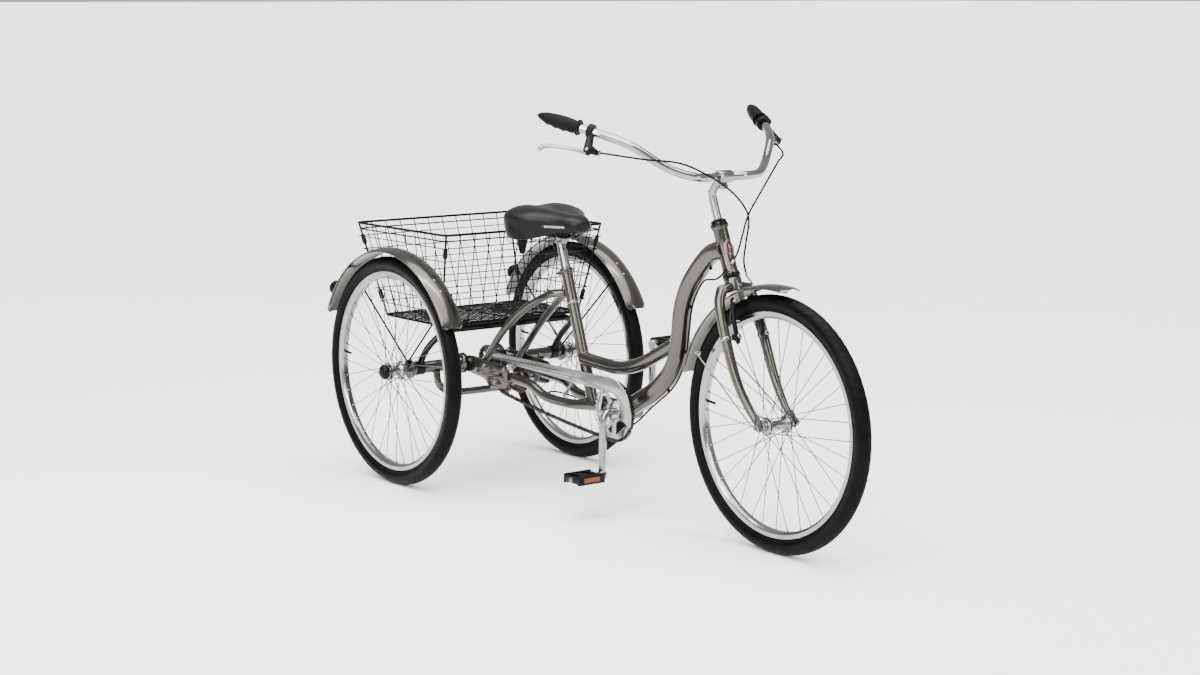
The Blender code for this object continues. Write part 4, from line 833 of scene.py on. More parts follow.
# ---------------------------------------------------------------- wheels
@dataclass(frozen=True)
class Wheel:
    """A laced wheel: treaded tyre, hooked rim with nipples and valve, crossed spokes and a turned hub.

    Attributes:
        name: the wheel's place, which starts its pieces' names.
        centre: the wheel's middle.
        body: the body that it rides on.
        barrel: the hub shell's radius between the flanges.
        flange: the flanges' radius.
        spread: how far each flange is from the wheel's middle.
        reach: how far each end of the hub is from the wheel's middle.
        bore: the hub's bore.
    """

    name: str
    centre: Vector
    body: str
    barrel: float
    flange: float
    spread: float
    reach: float
    bore: float
    spoke_count: int = 36
    spoke_radius: float = 0.0011
    crossing: float = 2.3
    rim_inner: float = 0.2675

    def build(self) -> None:
        """Make every piece of the wheel."""
        place = sideways(self.centre)
        self.tyre(place)
        self.rim(place)
        self.spokes(place)
        self.hub(place)

    def tyre(self, place: Matrix) -> None:
        """Make the tyre with a ribbed middle and slanting shoulder blocks.

        Args:
            place: the wheel's middle, with local Z along the axle.
        """
        count, edge, depth, blocks = 40, 118.0, 0.0012, 72
        angles = [math.radians(-edge + 2 * edge * index / count) for index in range(count + 1)]
        middle = L.rim_radius + L.tyre_rise
        profile = [(middle + L.tyre_section * math.cos(a), L.tyre_section * math.sin(a)) for a in angles]
        profile += [(L.rim_radius + 0.0004, 0.0124), (L.rim_radius + 0.0004, -0.0124)]

        def carve(index: int, turn: float) -> float:
            if index > count:
                return 0.0
            lean = math.degrees(angles[index])
            if 10 < abs(lean) < 16:
                return depth
            if not 22 < abs(lean) < 60:
                return 0.0
            phase = (turn * blocks / (2 * math.pi) + abs(lean) / 52 + (0.5 if lean > 0 else 0.0)) % 1.0
            return depth if phase < 0.3 else 0.0

        shape = Shape().turned(profile, place, blocks * 7, ring=True, carve=carve)
        for side in (-1, 1):
            ring = [(L.rim_radius + 0.0052 + dr, side * (0.0172 + dy)) for dr,
                    dy in ((0, -1e-3), (1e-3, 4e-4), (-1e-3, 4e-4))]
            shape.turned(ring, place, 144, ring=True)
        rubber = TyreRubber(f"{self.name}_tyre_rubber", (0.001, 0.001, 0.001), (0.0024, 0.0024, 0.0023),
                            (0.34, 0.5),
                            specular=0.05, mottle=30.0, grain=Grain.PEBBLE, grain_scale=1300.0,
                            grain_height=0.00004,
                            centre=self.centre)
        put(shape, f"{self.name}_tyre_casing", rubber, self.body, [f"{self.name}_tyre"], 30)

    def rim(self, place: Matrix) -> None:
        """Make the double-walled rim, its nipples and valve.

        Args:
            place: the wheel's middle, with local Z along the axle.
        """
        outer, inner, half = L.rim_radius, self.rim_inner, 0.0135
        side = [(outer, half - 0.0008), (outer - 0.0005, half), (outer - 0.0105, half),
                (outer - 0.0113, half - 0.0006),
                (inner + 0.003, half * 0.74), (inner + 0.0008, half * 0.56), (inner, half * 0.36)]
        profile = side + [(radius, -across) for radius, across in reversed(side)]
        profile += [(outer - 0.0066, -0.0106), (outer - 0.0072, 0.0106)]
        alloy = Finish(f"{self.name}_rim_alloy", (0.25, 0.25, 0.255), (0.31, 0.31, 0.315), (0.14, 0.24), 1.0,
                       mottle=16.0,
                       grain=Grain.RINGED, grain_scale=260.0, grain_height=0.00001, centre=self.centre)
        put(Shape().turned(profile, place, 180, ring=True), f"{self.name}_rim_hoop", alloy, self.body,
            [f"{self.name}_rim"], 25)
        nipples = Shape()
        for turn, side_sign, _ in self.laces():
            foot = self.rim_point(turn, side_sign, inner + 0.0012)
            head = self.rim_point(turn, side_sign, inner - 0.0095)
            nipples.bar([foot, foot.lerp(head, 0.3), foot.lerp(head, 0.34), head], 0.0027, 10,
                        scales=(1.0, 1.0, 0.72, 0.62))
        nipples.points = [place @ point for point in nipples.points]
        put(nipples, f"{self.name}_nipples", CHROME, self.body)
        valve = Shape()
        turn = 2 * math.pi * 0.5 / self.spoke_count
        stem = [self.rim_point(turn, 0, inner + 0.001 - length) for length in (0.0, 0.01, 0.022, 0.0225,
                                                                               0.031)]
        valve.bar([place @ point for point in stem], 0.0036, 14, scales=(1.2, 1.0, 0.9, 1.05, 0.95))
        put(valve, f"{self.name}_valve", BLACK_PLASTIC, self.body)

    def laces(self) -> list[tuple[float, int, int]]:
        """Return each spoke's angle at the rim, its flange's side and which face of the flange holds its head."""
        found = []
        for index in range(self.spoke_count):
            found.append((2 * math.pi * index / self.spoke_count, 1 if index % 2 else -1,
                          1 if (index // 2) % 2 else -1))
        return found

    def rim_point(self, turn: float, side: int, radius: float) -> Vector:
        """Return where a spoke's line is at a radius near the rim, in the wheel's own frame."""
        return Vector((radius * math.cos(turn), radius * math.sin(turn), side * 0.002))

    def spokes(self, place: Matrix) -> None:
        """Make the crossed spokes with their bent heads on the flanges.

        Args:
            place: the wheel's middle, with local Z along the axle.
        """
        shape = Shape()
        step = 2 * math.pi / (self.spoke_count // 2)
        for turn, side, face in self.laces():
            hub_turn = turn + face * self.crossing * step
            seat = self.flange - 0.0036
            start = Vector((seat * math.cos(hub_turn), seat * math.sin(hub_turn),
                            side * (self.spread + face * 0.0024)))
            end = self.rim_point(turn, side, self.rim_inner - 0.006)
            head = Vector((start.x, start.y, side * (self.spread - face * 0.0018)))
            shape.bar([head, start, start.lerp(end, 0.012), end], self.spoke_radius, 8)
            shape.bar([head, head.lerp(start, 0.22)], 0.0018, 8, domed=True)
        shape.points = [place @ point for point in shape.points]
        put(shape, f"{self.name}_spokes", SPOKE_STEEL, self.body)

    def hub(self, place: Matrix) -> None:
        """Make the turned hub shell with its two flanges.

        Args:
            place: the wheel's middle, with local Z along the axle.
        """
        sheet, waist = 0.0016, self.barrel * 0.86
        half = [(self.bore, self.reach), (self.barrel * 0.8, self.reach),
                (self.barrel * 0.86, self.reach - 0.0008),
                (self.barrel * 0.86, self.spread + 0.004), (self.barrel, self.spread + 0.0034),
                (self.barrel + 0.002, self.spread + sheet), (self.flange - 0.0008, self.spread + sheet),
                (self.flange, self.spread), (self.flange - 0.0008, self.spread - sheet),
                (self.barrel + 0.003, self.spread - sheet), (self.barrel, self.spread - 0.005),
                (waist, self.spread - 0.011 if self.spread > 0.025 else self.spread - 0.008)]
        profile = half + [(radius, -height) for radius, height in reversed(half)]
        put(Shape().turned(profile, place, 56, ring=True), f"{self.name}_hub_shell", SATIN, self.body,
            [f"{self.name}_hub"], 30)


def front_wheel() -> Wheel:
    """Return the front wheel."""
    return Wheel("front", L.front_axle, "front_wheel", 0.014, 0.024, 0.033, 0.044, 0.0053)


def rear_wheel(side: str) -> Wheel:
    """Return a rear wheel.

    Args:
        side: right for the free wheel, left for the driven one.
    """
    body = "free_wheel" if side == "right" else "drive_wheel"
    centre = L.rear_axle + SIDES[side] * L.half_track * ACROSS
    return Wheel(side, centre, body, 0.016, 0.026, 0.02, 0.026, 0.0078)


# ---------------------------------------------------------------- frame
def bead(tube_end: Vector, tube_run: Vector, tube_radius: float, axis_point: Vector, axis_run: Vector,
         axis_radius: float, size: float = 0.0028) -> Shape:
    """Return the rippled weld bead where the end of one tube meets the side of another.

    Args:
        tube_end: a point on the coped tube's axis near the other tube's axis.
        tube_run: the coped tube's direction, away from the other tube.
        tube_radius: the coped tube's radius.
        axis_point: a point on the other tube's axis.
        axis_run: the other tube's direction.
        axis_radius: the other tube's radius.
        size: the bead's radius.

    Returns:
        The bead.
    """
    place = frame_to(tube_end, tube_run, axis_run if abs(axis_run.dot(tube_run)) < 0.95 else ACROSS)
    run, axis = Vector(tube_run).normalized(), Vector(axis_run).normalized()
    points, scales = [], []
    count = 72
    for index, angle in enumerate(turns(count)):
        start = place @ Vector((tube_radius * math.cos(angle), tube_radius * math.sin(angle), 0.0))
        offset, flat_run = start - axis_point, run - run.dot(axis) * axis
        offset -= offset.dot(axis) * axis
        a, b, c = flat_run.dot(flat_run), 2 * offset.dot(flat_run), offset.dot(offset) - axis_radius**2
        under_root = max(b * b - 4 * a * c, 0.0)
        points.append(start + run * ((-b + math.sqrt(under_root)) / (2 * a)))
        scales.append(1.0 + 0.16 * math.sin(index * 2 * math.pi / 4))
    return Shape().bar(points, size, 8, closed=True, scales=scales)


@dataclass
class FrameTubes:
    """The welded frame: head tube, swept main tube, bowed lower tube, seat tube, stays and bracket shell."""

    head_radius: float = 0.0195
    main_radius: float = 0.0255
    lower_radius: float = 0.0185
    seat_radius: float = 0.016
    post_bore: float = 0.0139
    chain_stay_radius: float = 0.0135
    seat_stay_radius: float = 0.0105
    shell_radius: float = 0.029
    plate_thickness: float = 0.006
    gap: float = 0.0003

    def __post_init__(self) -> None:
        """Work out the tubes' middle lines."""
        self.head_point = L.on_steering(L.head_bottom + L.head_joint_rise)
        self.main_line = smooth([self.share(L.bracket, self.head_point, *pair) for pair in (
            (0.0, 0.0), (0.144, 0.069), (0.297, 0.143), (0.433, 0.238), (0.51, 0.328), (0.545, 0.413),
            (0.562, 0.518), (0.582, 0.634), (0.636, 0.752), (0.725, 0.853), (0.861, 0.962), (1.0, 1.0))], 6)
        start = L.on_seat_tube(0.122)
        end = self.share(L.bracket, self.head_point, 0.55, 0.45)
        self.lower_line = smooth([self.share(start, end, *pair) for pair in (
            (0.0, 0.0), (0.175, -0.05), (0.39, -0.066), (0.6, 0.16), (0.824, 0.617), (1.0, 1.0))], 6)

    @staticmethod
    def share(start: Vector, end: Vector, along: float, up: float) -> Vector:
        """Return the point at these shares of the way from start to end, in X and in Z."""
        return Vector((start.x + along * (end.x - start.x), 0.0, start.z + up * (end.z - start.z)))

    def build(self) -> None:
        """Make every piece of the frame."""
        self.head()
        self.main()
        self.lower()
        self.seat_tube()
        self.stays()
        self.bracket_shell()

    def head(self) -> None:
        """Make the head tube, its bearing cups and the badge on its front."""
        place = frame_to(L.front_axle - L.fork_rake * L.steer_forward, L.steer_up)
        low, high = L.head_bottom, L.head_top
        radius, bore = self.head_radius, 0.0135
        profile = [(bore, low), (radius + 0.0022, low), (radius + 0.0024, low + 0.003),
                   (radius + 0.0008, low + 0.0065),
                   (radius, low + 0.009), (radius, high - 0.009), (radius + 0.0008, high - 0.0065),
                   (radius + 0.0024, high - 0.003), (radius + 0.0022, high), (bore, high)]
        put(Shape().turned(profile, place, 48, ring=True), "head_tube_shell", PAINT, "frame",
            ["head_tube"])
        cups = Shape()
        for edge, sign in ((low, -1), (high, 1)):
            ring = [(bore, 0.0), (0.0222, 0.0), (0.0235, 0.0012), (0.0235, 0.0062), (0.0222, 0.0078),
                    (0.0212, 0.0094),
                    (bore, 0.0098)]
            cups.turned([(r, edge + sign * h) for r, h in ring], place, 48, ring=True)
        put(cups, "bearing_cups", BLACK_PAINT, "frame")
        middle = L.head_bottom + 0.066
        outline = [(0.0135 * math.cos(a), 0.021 * math.sin(a)) for a in turns(36)]
        badge = Finish("badge_enamel", (0.032, 0.0008, 0.0012), (0.055, 0.002, 0.0022), (0.16, 0.26),
                       coat=0.4, mottle=60.0)
        rim = Finish("badge_rim", (0.17, 0.16, 0.15), (0.23, 0.22, 0.21), (0.18, 0.3), 0.9, mottle=90.0)
        for name, finish, scale, rise in (("badge_plate", rim, 1.0, 0.0006),
                                          ("badge_face", badge, 0.84, 0.0014),
                                          ("badge_mark", rim, 0.24, 0.002)):
            shape = Shape()
            rings = []
            for share, lift in ((1.0, -0.001), (1.0, rise * 0.5), (0.9, rise), (0.45, rise + 0.0003),
                                (0.02, rise + 0.0003)):
                ring = []
                for x, y in outline:
                    across = x * scale * share
                    bulge = math.sqrt(max(radius**2 - across**2, 0.0)) + lift
                    ring.append(L.on_steering(middle + y * scale * share, bulge, across))
                rings.append(ring)
            shape.loft(rings)
            put(shape, name, finish, "frame")

    def main(self) -> None:
        """Make the main tube with its welds and its cable clips."""
        radius = self.main_radius
        paint = FramePaint("scrolled_paint", *GREY_BRONZE, gloss=(0.16, 0.24), metallic=0.88, coat=0.25,
                           mottle=4.0,
                           grain_scale=2400.0, grain_height=0.000006, scroll_low=(0.33, -0.03, 0.6),
                           scroll_high=(0.402, 0.03, 0.755))
        put(Shape().bar(self.main_line, radius, 40), "main_tube_skin", paint, "frame",
            ["main_tube"])
        run = (self.main_line[-4] - self.main_line[-1]).normalized()
        weld = bead(self.head_point, run, radius, self.head_point, L.steer_up, self.head_radius)
        foot_run = (self.main_line[4] - self.main_line[0]).normalized()
        weld.merge(bead(L.bracket, foot_run, radius, L.bracket, ACROSS, self.shell_radius))
        put(weld, "main_tube_welds", PAINT, "frame")
        clips = Shape()
        for index in range(16, len(self.main_line) - 8, 14):
            here = self.main_line[index]
            along = (self.main_line[index + 1] - self.main_line[index - 1]).normalized()
            under = along.cross(ACROSS).normalized()
            if under.z > 0 and under.x < 0:
                under = -under
            hold = here + (radius + 0.0036) * under
            clips.block((0.007, 0.006, 0.008), frame_to(hold, along), 0.0012)
        put(clips, "cable_clips", BLACK_PLASTIC, "frame")

    def lower(self) -> None:
        """Make the bowed lower tube."""
        radius = self.lower_radius
        put(Shape().bar(self.lower_line, radius, 36), "lower_tube_skin", PAINT, "frame",
            ["lower_tube"])
        run = (self.lower_line[4] - self.lower_line[0]).normalized()
        weld = bead(self.lower_line[0], run, radius, self.lower_line[0], L.seat_up, self.seat_radius, 0.0024)
        ring_run = (self.lower_line[-1] - self.lower_line[-4]).normalized()
        near = min(range(len(self.main_line)), key=lambda i: (self.main_line[i] - self.lower_line[-1]).length)
        along = (self.main_line[near + 1] - self.main_line[near - 1]).normalized()
        weld.merge(bead(self.lower_line[-1], -ring_run, radius, self.main_line[near], along, self.main_radius,
                        0.0024))
        put(weld, "lower_tube_welds", PAINT, "frame")

    def seat_tube(self) -> None:
        """Make the seat tube with its split collar, pinch bolt and pale band."""
        place = frame_to(L.on_seat_tube(0.0), L.seat_up)
        radius, top, bore = self.seat_radius, L.seat_tube_length, self.post_bore
        profile = [(0.0005, 0.0), (radius, 0.0), (radius, top - 0.018), (radius + 0.0012, top - 0.0165),
                   (radius + 0.0012, top), (bore, top), (bore, top - 0.24), (0.0005, top - 0.24)]
        put(Shape().turned(profile, place, 40), "seat_tube_skin", PAINT, "frame",
            ["seat_tube"])
        collar = Shape()
        ring = [(bore + 0.0024, top - 0.012), (radius + 0.0026, top - 0.0116),
                (radius + 0.0032, top - 0.0104),
                (radius + 0.0032, top - 0.003), (radius + 0.0026, top - 0.0016), (bore + 0.0024, top - 0.001)]
        collar.turned(ring, place, 40, ring=True)
        ears = L.on_seat_tube(top - 0.008, -radius - 0.0095)
        for sign in (-1, 1):
            collar.block((0.012, 0.0045, 0.013), frame_to(ears + sign * 0.0042 * ACROSS, L.seat_up), 0.0012)
        collar.bar([ears - 0.016 * ACROSS, ears + 0.012 * ACROSS], 0.0026, 12)
        for side, sign in SIDES.items():
            collar.nut(sideways(ears + sign * 0.0068 * ACROSS, sign), 0.0052, 0.0045)
        put(collar, "seat_collar", PAINT, "frame")
        low, high = 0.277, 0.284
        band = [(radius + 0.0001, low), (radius + 0.0003, low + 0.0004), (radius + 0.0003, high - 0.0004),
                (radius + 0.0001, high)]
        put(Shape().turned(band, place, 40), "seat_tube_bands", SATIN, "frame")

    def stays(self) -> None:
        """Make the chain stays with their bridge, and the seat stays."""
        tail = Vector((L.mid_hub.x + 0.04,
                       L.plate_offset - self.plate_thickness / 2 - self.chain_stay_radius - self.gap,
                       L.mid_hub.z + 0.018))
        half = [
            tail, Vector((tail.x + 0.1, tail.y, tail.z - 0.008)),
            Vector((tail.x + 0.172, tail.y - 0.003, L.bracket.z - 0.002)),
            Vector((L.bracket.x - 0.2, tail.y - 0.008, L.bracket.z - 0.007)),
            Vector((L.bracket.x - 0.11, 0.038, L.bracket.z - 0.002)),
            Vector((L.bracket.x - 0.06, 0.022, L.bracket.z)),
            Vector((L.bracket.x - 0.0385, 0.0, L.bracket.z)),
        ]
        path = smooth([mirrored(point) for point in half[:-1]] + half[::-1], 6)
        shape = Shape().bar(path, self.chain_stay_radius, 28, domed=True)
        foot = L.on_seat_tube(0.0)
        shape.bar([foot - 0.048 * ACROSS, foot + 0.048 * ACROSS], 0.011, 28)
        put(shape, "chain_stay_tubes", PAINT, "frame", ["chain_stays"])

        top = L.on_seat_tube(0.312, -self.seat_radius - self.seat_stay_radius + 0.003)
        inside = L.plate_offset - self.plate_thickness / 2 - self.seat_stay_radius - self.gap
        foot = L.rear_axle + Vector((0.08, inside, 0.012))
        half = [foot]
        for along, up, across in ((0.28, 0.42, foot.y), (0.58, 0.75, 0.052), (0.86, 0.965, 0.032),
                                  (0.97, 0.995, 0.015)):
            half.append(self.share(foot, top, along, up) + Vector((0.0, across, 0.0)))
        path = smooth([mirrored(point) for point in half] + [top] + half[::-1], 6)
        shape = Shape().bar(path, self.seat_stay_radius, 26, domed=True)
        put(shape, "seat_stay_tubes", PAINT, "frame", ["seat_stays"])

    def bracket_shell(self) -> None:
        """Make the bottom bracket shell with its bearing cups."""
        place = sideways(L.bracket)
        bore, shell = 0.0125, self.shell_radius
        half = [(bore, 0.034), (shell - 0.0018, 0.034), (shell, 0.0325), (shell, 0.0)]
        profile = half + [(radius, -height) for radius, height in reversed(half[:-1])]
        put(Shape().turned(profile, place, 48, ring=True), "bracket_shell", PAINT, "frame",
            ["bottom_bracket_shell"])
        ring = [(bore, 0.0342), (0.0245, 0.0342), (0.0245, 0.0372), (0.0225, 0.0388), (0.0145, 0.0395),
                (bore, 0.0385)]
        cups = Shape()
        for sign, sides in ((-1, 40), (1, 8)):  # the left cup has flats for a spanner
            cups.turned([(radius, sign * height) for radius, height in ring], place, sides, ring=True)
        put(cups, "bracket_cups", STEEL, "frame")


@dataclass(frozen=True)
class AxleCarrier:
    """What carries the rear axle: two plates, two housings with end rings, a cross tube and the rack hoop."""

    plate_thickness: float = 0.006
    housing_end: float = 0.272
    housing_radius: float = 0.0175
    axle_bore: float = 0.0085
    cross_reach: float = 0.185
    cross_drop: float = 0.078
    cross_radius: float = 0.0105
    rack_top: float = 0.462
    rack_radius: float = 0.0095

    def build(self) -> None:
        """Make every piece of the carrier."""
        self.plates()
        self.housings()
        self.cross_tube()
        self.rack()

    def plates(self) -> None:
        """Make the two side plates with their bolts."""
        outline = [(-0.03, -0.019), (0.098, -0.034), (0.13, -0.058), (0.205, -0.05), (0.214, -0.036),
                   (0.214, 0.002), (0.205, 0.014), (0.035, 0.025), (-0.028, 0.018)]
        edge = rounded(outline, 0.007)
        upright = Matrix.Rotation(math.radians(90), 4, "X")
        hub = L.mid_hub - L.rear_axle
        holes = [(0.0, 0.0, 0.0088), (hub.x, hub.z, 0.0056)]
        slot = [(0.182 + 0.01 * math.cos(a), -0.012 + 0.0045 * math.sin(a)) for a in turns(18)]
        bolts = Shape()
        for side, sign in SIDES.items():
            place = Matrix.Translation(L.rear_axle + sign * L.plate_offset * ACROSS) @ upright
            shape = Shape().plate(edge, self.plate_thickness, place, holes, 0.0008, [slot])
            put(shape, f"carrier_plate_{side}", PAINT, "frame", [f"axle_plate_{side}"])
            for x, z in ((0.102, 0.004), (0.062, -0.014), (0.03, 0.012)):
                seat = L.rear_axle + Vector((x, sign * (L.plate_offset + 0.003), z))
                bolts.turned([(0.0004, 0.0), (0.0088, 0.0), (0.0088, 0.001), (0.0004, 0.0012)],
                             sideways(seat, sign), 24)
                bolts.nut(sideways(seat + sign * 0.001 * ACROSS, sign), 0.0065, 0.0048)
        put(bolts, "carrier_bolts", STEEL, "frame")

    def housings(self) -> None:
        """Make the axle housings with their flanges, end rings and clamp bands."""
        start, end = L.plate_offset + 0.0033, self.housing_end
        radius, bore = self.housing_radius, self.axle_bore
        rings = Shape()
        for side, sign in SIDES.items():
            place = sideways(L.rear_axle, sign)
            profile = [(bore, start), (0.026, start), (0.026, start + 0.013), (0.0235, start + 0.0165),
                       (radius + 0.001, start + 0.019), (radius, start + 0.022), (radius, end - 0.01),
                       (0.021, end - 0.008), (0.028, end - 0.0065), (0.0285, end - 0.001), (0.0275, end),
                       (bore, end)]
            shape = Shape().turned(profile, place, 48, ring=True)
            put(shape, f"housing_{side}", PAINT, "frame", [f"axle_housing_{side}"])
            rings.turned([(0.0262, start + 0.003), (0.0292, start + 0.003), (0.03, start + 0.0045),
                          (0.03, start + 0.0095), (0.0292, start + 0.011), (0.0262, start + 0.011)], place,
                          48, ring=True)
            rings.turned([(radius + 0.0002, 0.226), (radius + 0.0032, 0.2265), (radius + 0.0032, 0.2495),
                          (radius + 0.0002, 0.25)], place, 48, ring=True)
            ear = L.rear_axle + Vector((-0.0255, sign * 0.238, 0.0))
            rings.block((0.012, 0.018, 0.005), Matrix.Translation(ear), 0.001)
            rings.nut(frame_to(ear + 0.0025 * UP, UP), 0.0055, 0.0045)
        put(rings, "housing_rings", BLACK_PAINT, "frame")

    def cross_tube(self) -> None:
        """Make the cranked tube that runs under the axle between the housings."""
        reach, drop = self.cross_reach, self.cross_drop
        half = [L.rear_axle + Vector(offset) for offset in (
            (0.012, reach, -0.012), (0.02, reach - 0.004, -0.052), (0.03, reach - 0.035, -drop + 0.004),
            (0.036, 0.09, -drop))]
        path = smooth([mirrored(point) for point in half] + half[::-1], 7)
        shape = Shape().bar(path, self.cross_radius, 26)
        for sign in (-1, 1):
            shape.merge(bead(L.rear_axle + Vector((0.012, sign * reach, 0.0)), Vector((0.1, 0.0, -1.0)),
                             self.cross_radius,
                             L.rear_axle, ACROSS, self.housing_radius, 0.002))
        put(shape, "under_axle_tube", PAINT, "frame", ["lower_cross_tube"])

    def rack(self) -> None:
        """Make the rack hoop with its two rails and its rubber rests."""
        level = self.rack_top - self.rack_radius - 0.0003
        half = [L.rear_axle + Vector((0.008, 0.238, 0.0145)), L.rear_axle + Vector((0.045, 0.238, 0.06))]
        for x, y, drop in ((0.098, 0.232, 0.022), (0.116, 0.205, 0.004), (0.12, 0.165, 0.002),
                           (0.12, 0.06, 0.002)):
            half.append(Vector((L.rear_axle.x + x, y, level - drop)))
        path = smooth([mirrored(point) for point in half] + half[::-1], 6)
        shape = Shape().bar(path, self.rack_radius, 24)
        rests = Shape()
        for sign in SIDES.values():
            ends = [Vector((L.rear_axle.x + x, sign * 0.125, level)) for x in (0.112, -0.15)]
            shape.bar(ends, 0.0076, 24, domed=True)
            for share in (0.25, 0.92):
                rests.turned([(0.0077, -0.008), (0.009, -0.007), (0.009, 0.007), (0.0077, 0.008)],
                             frame_to(ends[0].lerp(ends[1], share), Vector((1.0, 0.0, 0.0))), 24)
        put(shape, "rack_tubes", BLACK_PAINT, "frame", ["basket_rack"])
        put(rests, "rack_rests", BLACK_PLASTIC, "frame")


# ---------------------------------------------------------------- basket
@dataclass(frozen=True)
class Basket:
    """The tapered wire basket: walls of thin wire, thick rims and corners, and a floor of expanded mesh."""

    top_rear: float = -0.905
    top_front: float = -0.432
    top_half: float = 0.275
    top: float = 0.7285
    floor_rear: float = -0.803
    floor_front: float = -0.502
    floor_half: float = 0.245
    floor: float = 0.4655
    wire: float = 0.00155
    rim: float = 0.0036

    def corner(self, ahead: int, side: int, rise: float) -> Vector:
        """Return a point of a corner.

        Args:
            ahead: 1 for the front, 0 for the rear.
            side: 1 for the left, -1 for the right.
            rise: 0 at the floor to 1 at the top.
        """
        low = Vector((self.floor_front if ahead else self.floor_rear, side * self.floor_half, self.floor))
        high = Vector((self.top_front if ahead else self.top_rear, side * self.top_half, self.top))
        return low.lerp(high, rise)

    def walls(self) -> list[tuple[tuple[int, int], tuple[int, int], int]]:
        """Return each wall's first and last corner and how many gaps it has along the top."""
        return [((1, -1), (1, 1), 11), ((0, -1), (0, 1), 11), ((0, -1), (1, -1), 9), ((0, 1), (1, 1), 9)]

    def build(self) -> None:
        """Make every piece of the basket."""
        rows = 7
        grid = Shape()
        for first, last, gaps in self.walls():
            for index in range(1, gaps):
                share = index / gaps
                ends = [self.corner(*first, rise).lerp(self.corner(*last, rise), share) for rise in (0.0,
                                                                                                     1.0)]
                grid.bar(ends, self.wire, 8)
            out = self.outwards(first, last)
            for row in range(1, rows):
                ends = [self.corner(*corner, row / rows) + 0.0028 * out for corner in (first, last)]
                grid.bar(ends, self.wire, 8)
        put(grid, "basket_wires", BLACK_WIRE, "frame", ["basket"])
        rims = Shape()
        for rise, size in ((1.0, self.rim), (0.935, 0.0022), (0.0, self.rim)):
            rims.bar(self.loop(rise), size, 16, closed=True)
        for ahead in (0, 1):
            for side in (-1, 1):
                rims.bar([self.rounded_corner(ahead, side, rise / 6) for rise in range(7)], 0.003, 14)
        put(rims, "basket_rims", BLACK_WIRE, "frame")
        self.clips()
        self.mesh_floor()
        self.brackets()

    def outwards(self, first: tuple[int, int], last: tuple[int, int]) -> Vector:
        """Return the direction out of a wall."""
        along = self.corner(*last, 1.0) - self.corner(*first, 1.0)
        out = along.cross(UP).normalized()
        return out if out.dot(self.corner(*first, 1.0) - Vector((-0.66, 0.0, 0.7))) > 0 else -out

    def loop(self, rise: float) -> list[Vector]:
        """Return a rim's line at a height, with rounded corners."""
        order = [(0, -1), (1, -1), (1, 1), (0, 1)]
        corners = [self.corner(*corner, rise) for corner in order]
        flat = rounded([(point.x, point.y) for point in corners], 0.022, 6)
        return [Vector((x, y, corners[0].z)) for x, y in flat]

    def rounded_corner(self, ahead: int, side: int, rise: float) -> Vector:
        """Return where an upright wire runs inside a rounded corner."""
        inwards = Vector((-1.0 if ahead else 1.0, -float(side), 0.0))
        return self.corner(ahead, side, rise) + 0.0055 * inwards

    def clips(self) -> None:
        """Make the moulded corner clips that hold neighbouring walls together."""
        shape = Shape()
        for ahead, side, rise in ((1, -1, 0.8), (1, -1, 0.16), (0, 1, 0.34), (0, -1, 0.82), (0, 1, 0.82),
                                  (1, 1, 0.8),
                                  (0, -1, 0.22), (1, 1, 0.2)):
            middle = self.rounded_corner(ahead, side, rise)
            up = self.corner(ahead, side, 1.0) - self.corner(ahead, side, 0.0)
            shape.bar([middle - up.normalized() * 0.01, middle + up.normalized() * 0.01], 0.0068, 16,
                      domed=True)
        put(shape, "basket_clips", BLACK_PLASTIC, "frame")

    def mesh_floor(self) -> None:
        """Make the floor of expanded mesh and the two bars under it."""
        shape = Shape()
        rows, waves = 18, 13
        length, width = self.floor_front - self.floor_rear - 0.004, 2 * self.floor_half - 0.004
        pitch = length / rows
        for row in range(rows):
            middle = self.floor_rear + 0.002 + pitch * (row + 0.5)
            points = []
            for index in range(2 * waves + 1):
                up = 1 if (index + row) % 2 else -1
                points.append(Vector((middle + up * pitch * 0.5, -width / 2 + width * index / (2 * waves),
                                      self.floor)))
            shape.bar(points, 0.0017, 6)
        put(shape, "basket_floor_mesh", BLACK_WIRE, "frame")
        bars = Shape()
        for y in (-0.16, 0.0, 0.16):
            path = [Vector((self.floor_rear, y, self.floor + 0.001)),
                    Vector((self.floor_front, y, self.floor + 0.001))]
            bars.bar(path, 0.0022, 12)
        put(bars, "basket_floor_bars", BLACK_WIRE, "frame")

    def brackets(self) -> None:
        """Make the bolted straps that hold the basket on the rack's rails."""
        straps, bolts = Shape(), Shape()
        for side in (-1, 1):
            for x in (-0.545, -0.76):
                middle = Vector((x, side * 0.125, self.floor + 0.004))
                straps.block((0.02, 0.042, 0.0022), Matrix.Translation(middle), 0.0008)
                straps.block((0.02, 0.0022, 0.016),
                             Matrix.Translation(middle + Vector((0, side * 0.0105, -0.0085))), 0.0008)
                bolts.nut(frame_to(middle + 0.001 * UP, UP), 0.005, 0.0036)
        put(straps, "basket_straps", BLACK_PAINT, "frame")
        put(bolts, "basket_bolts", STEEL, "frame")


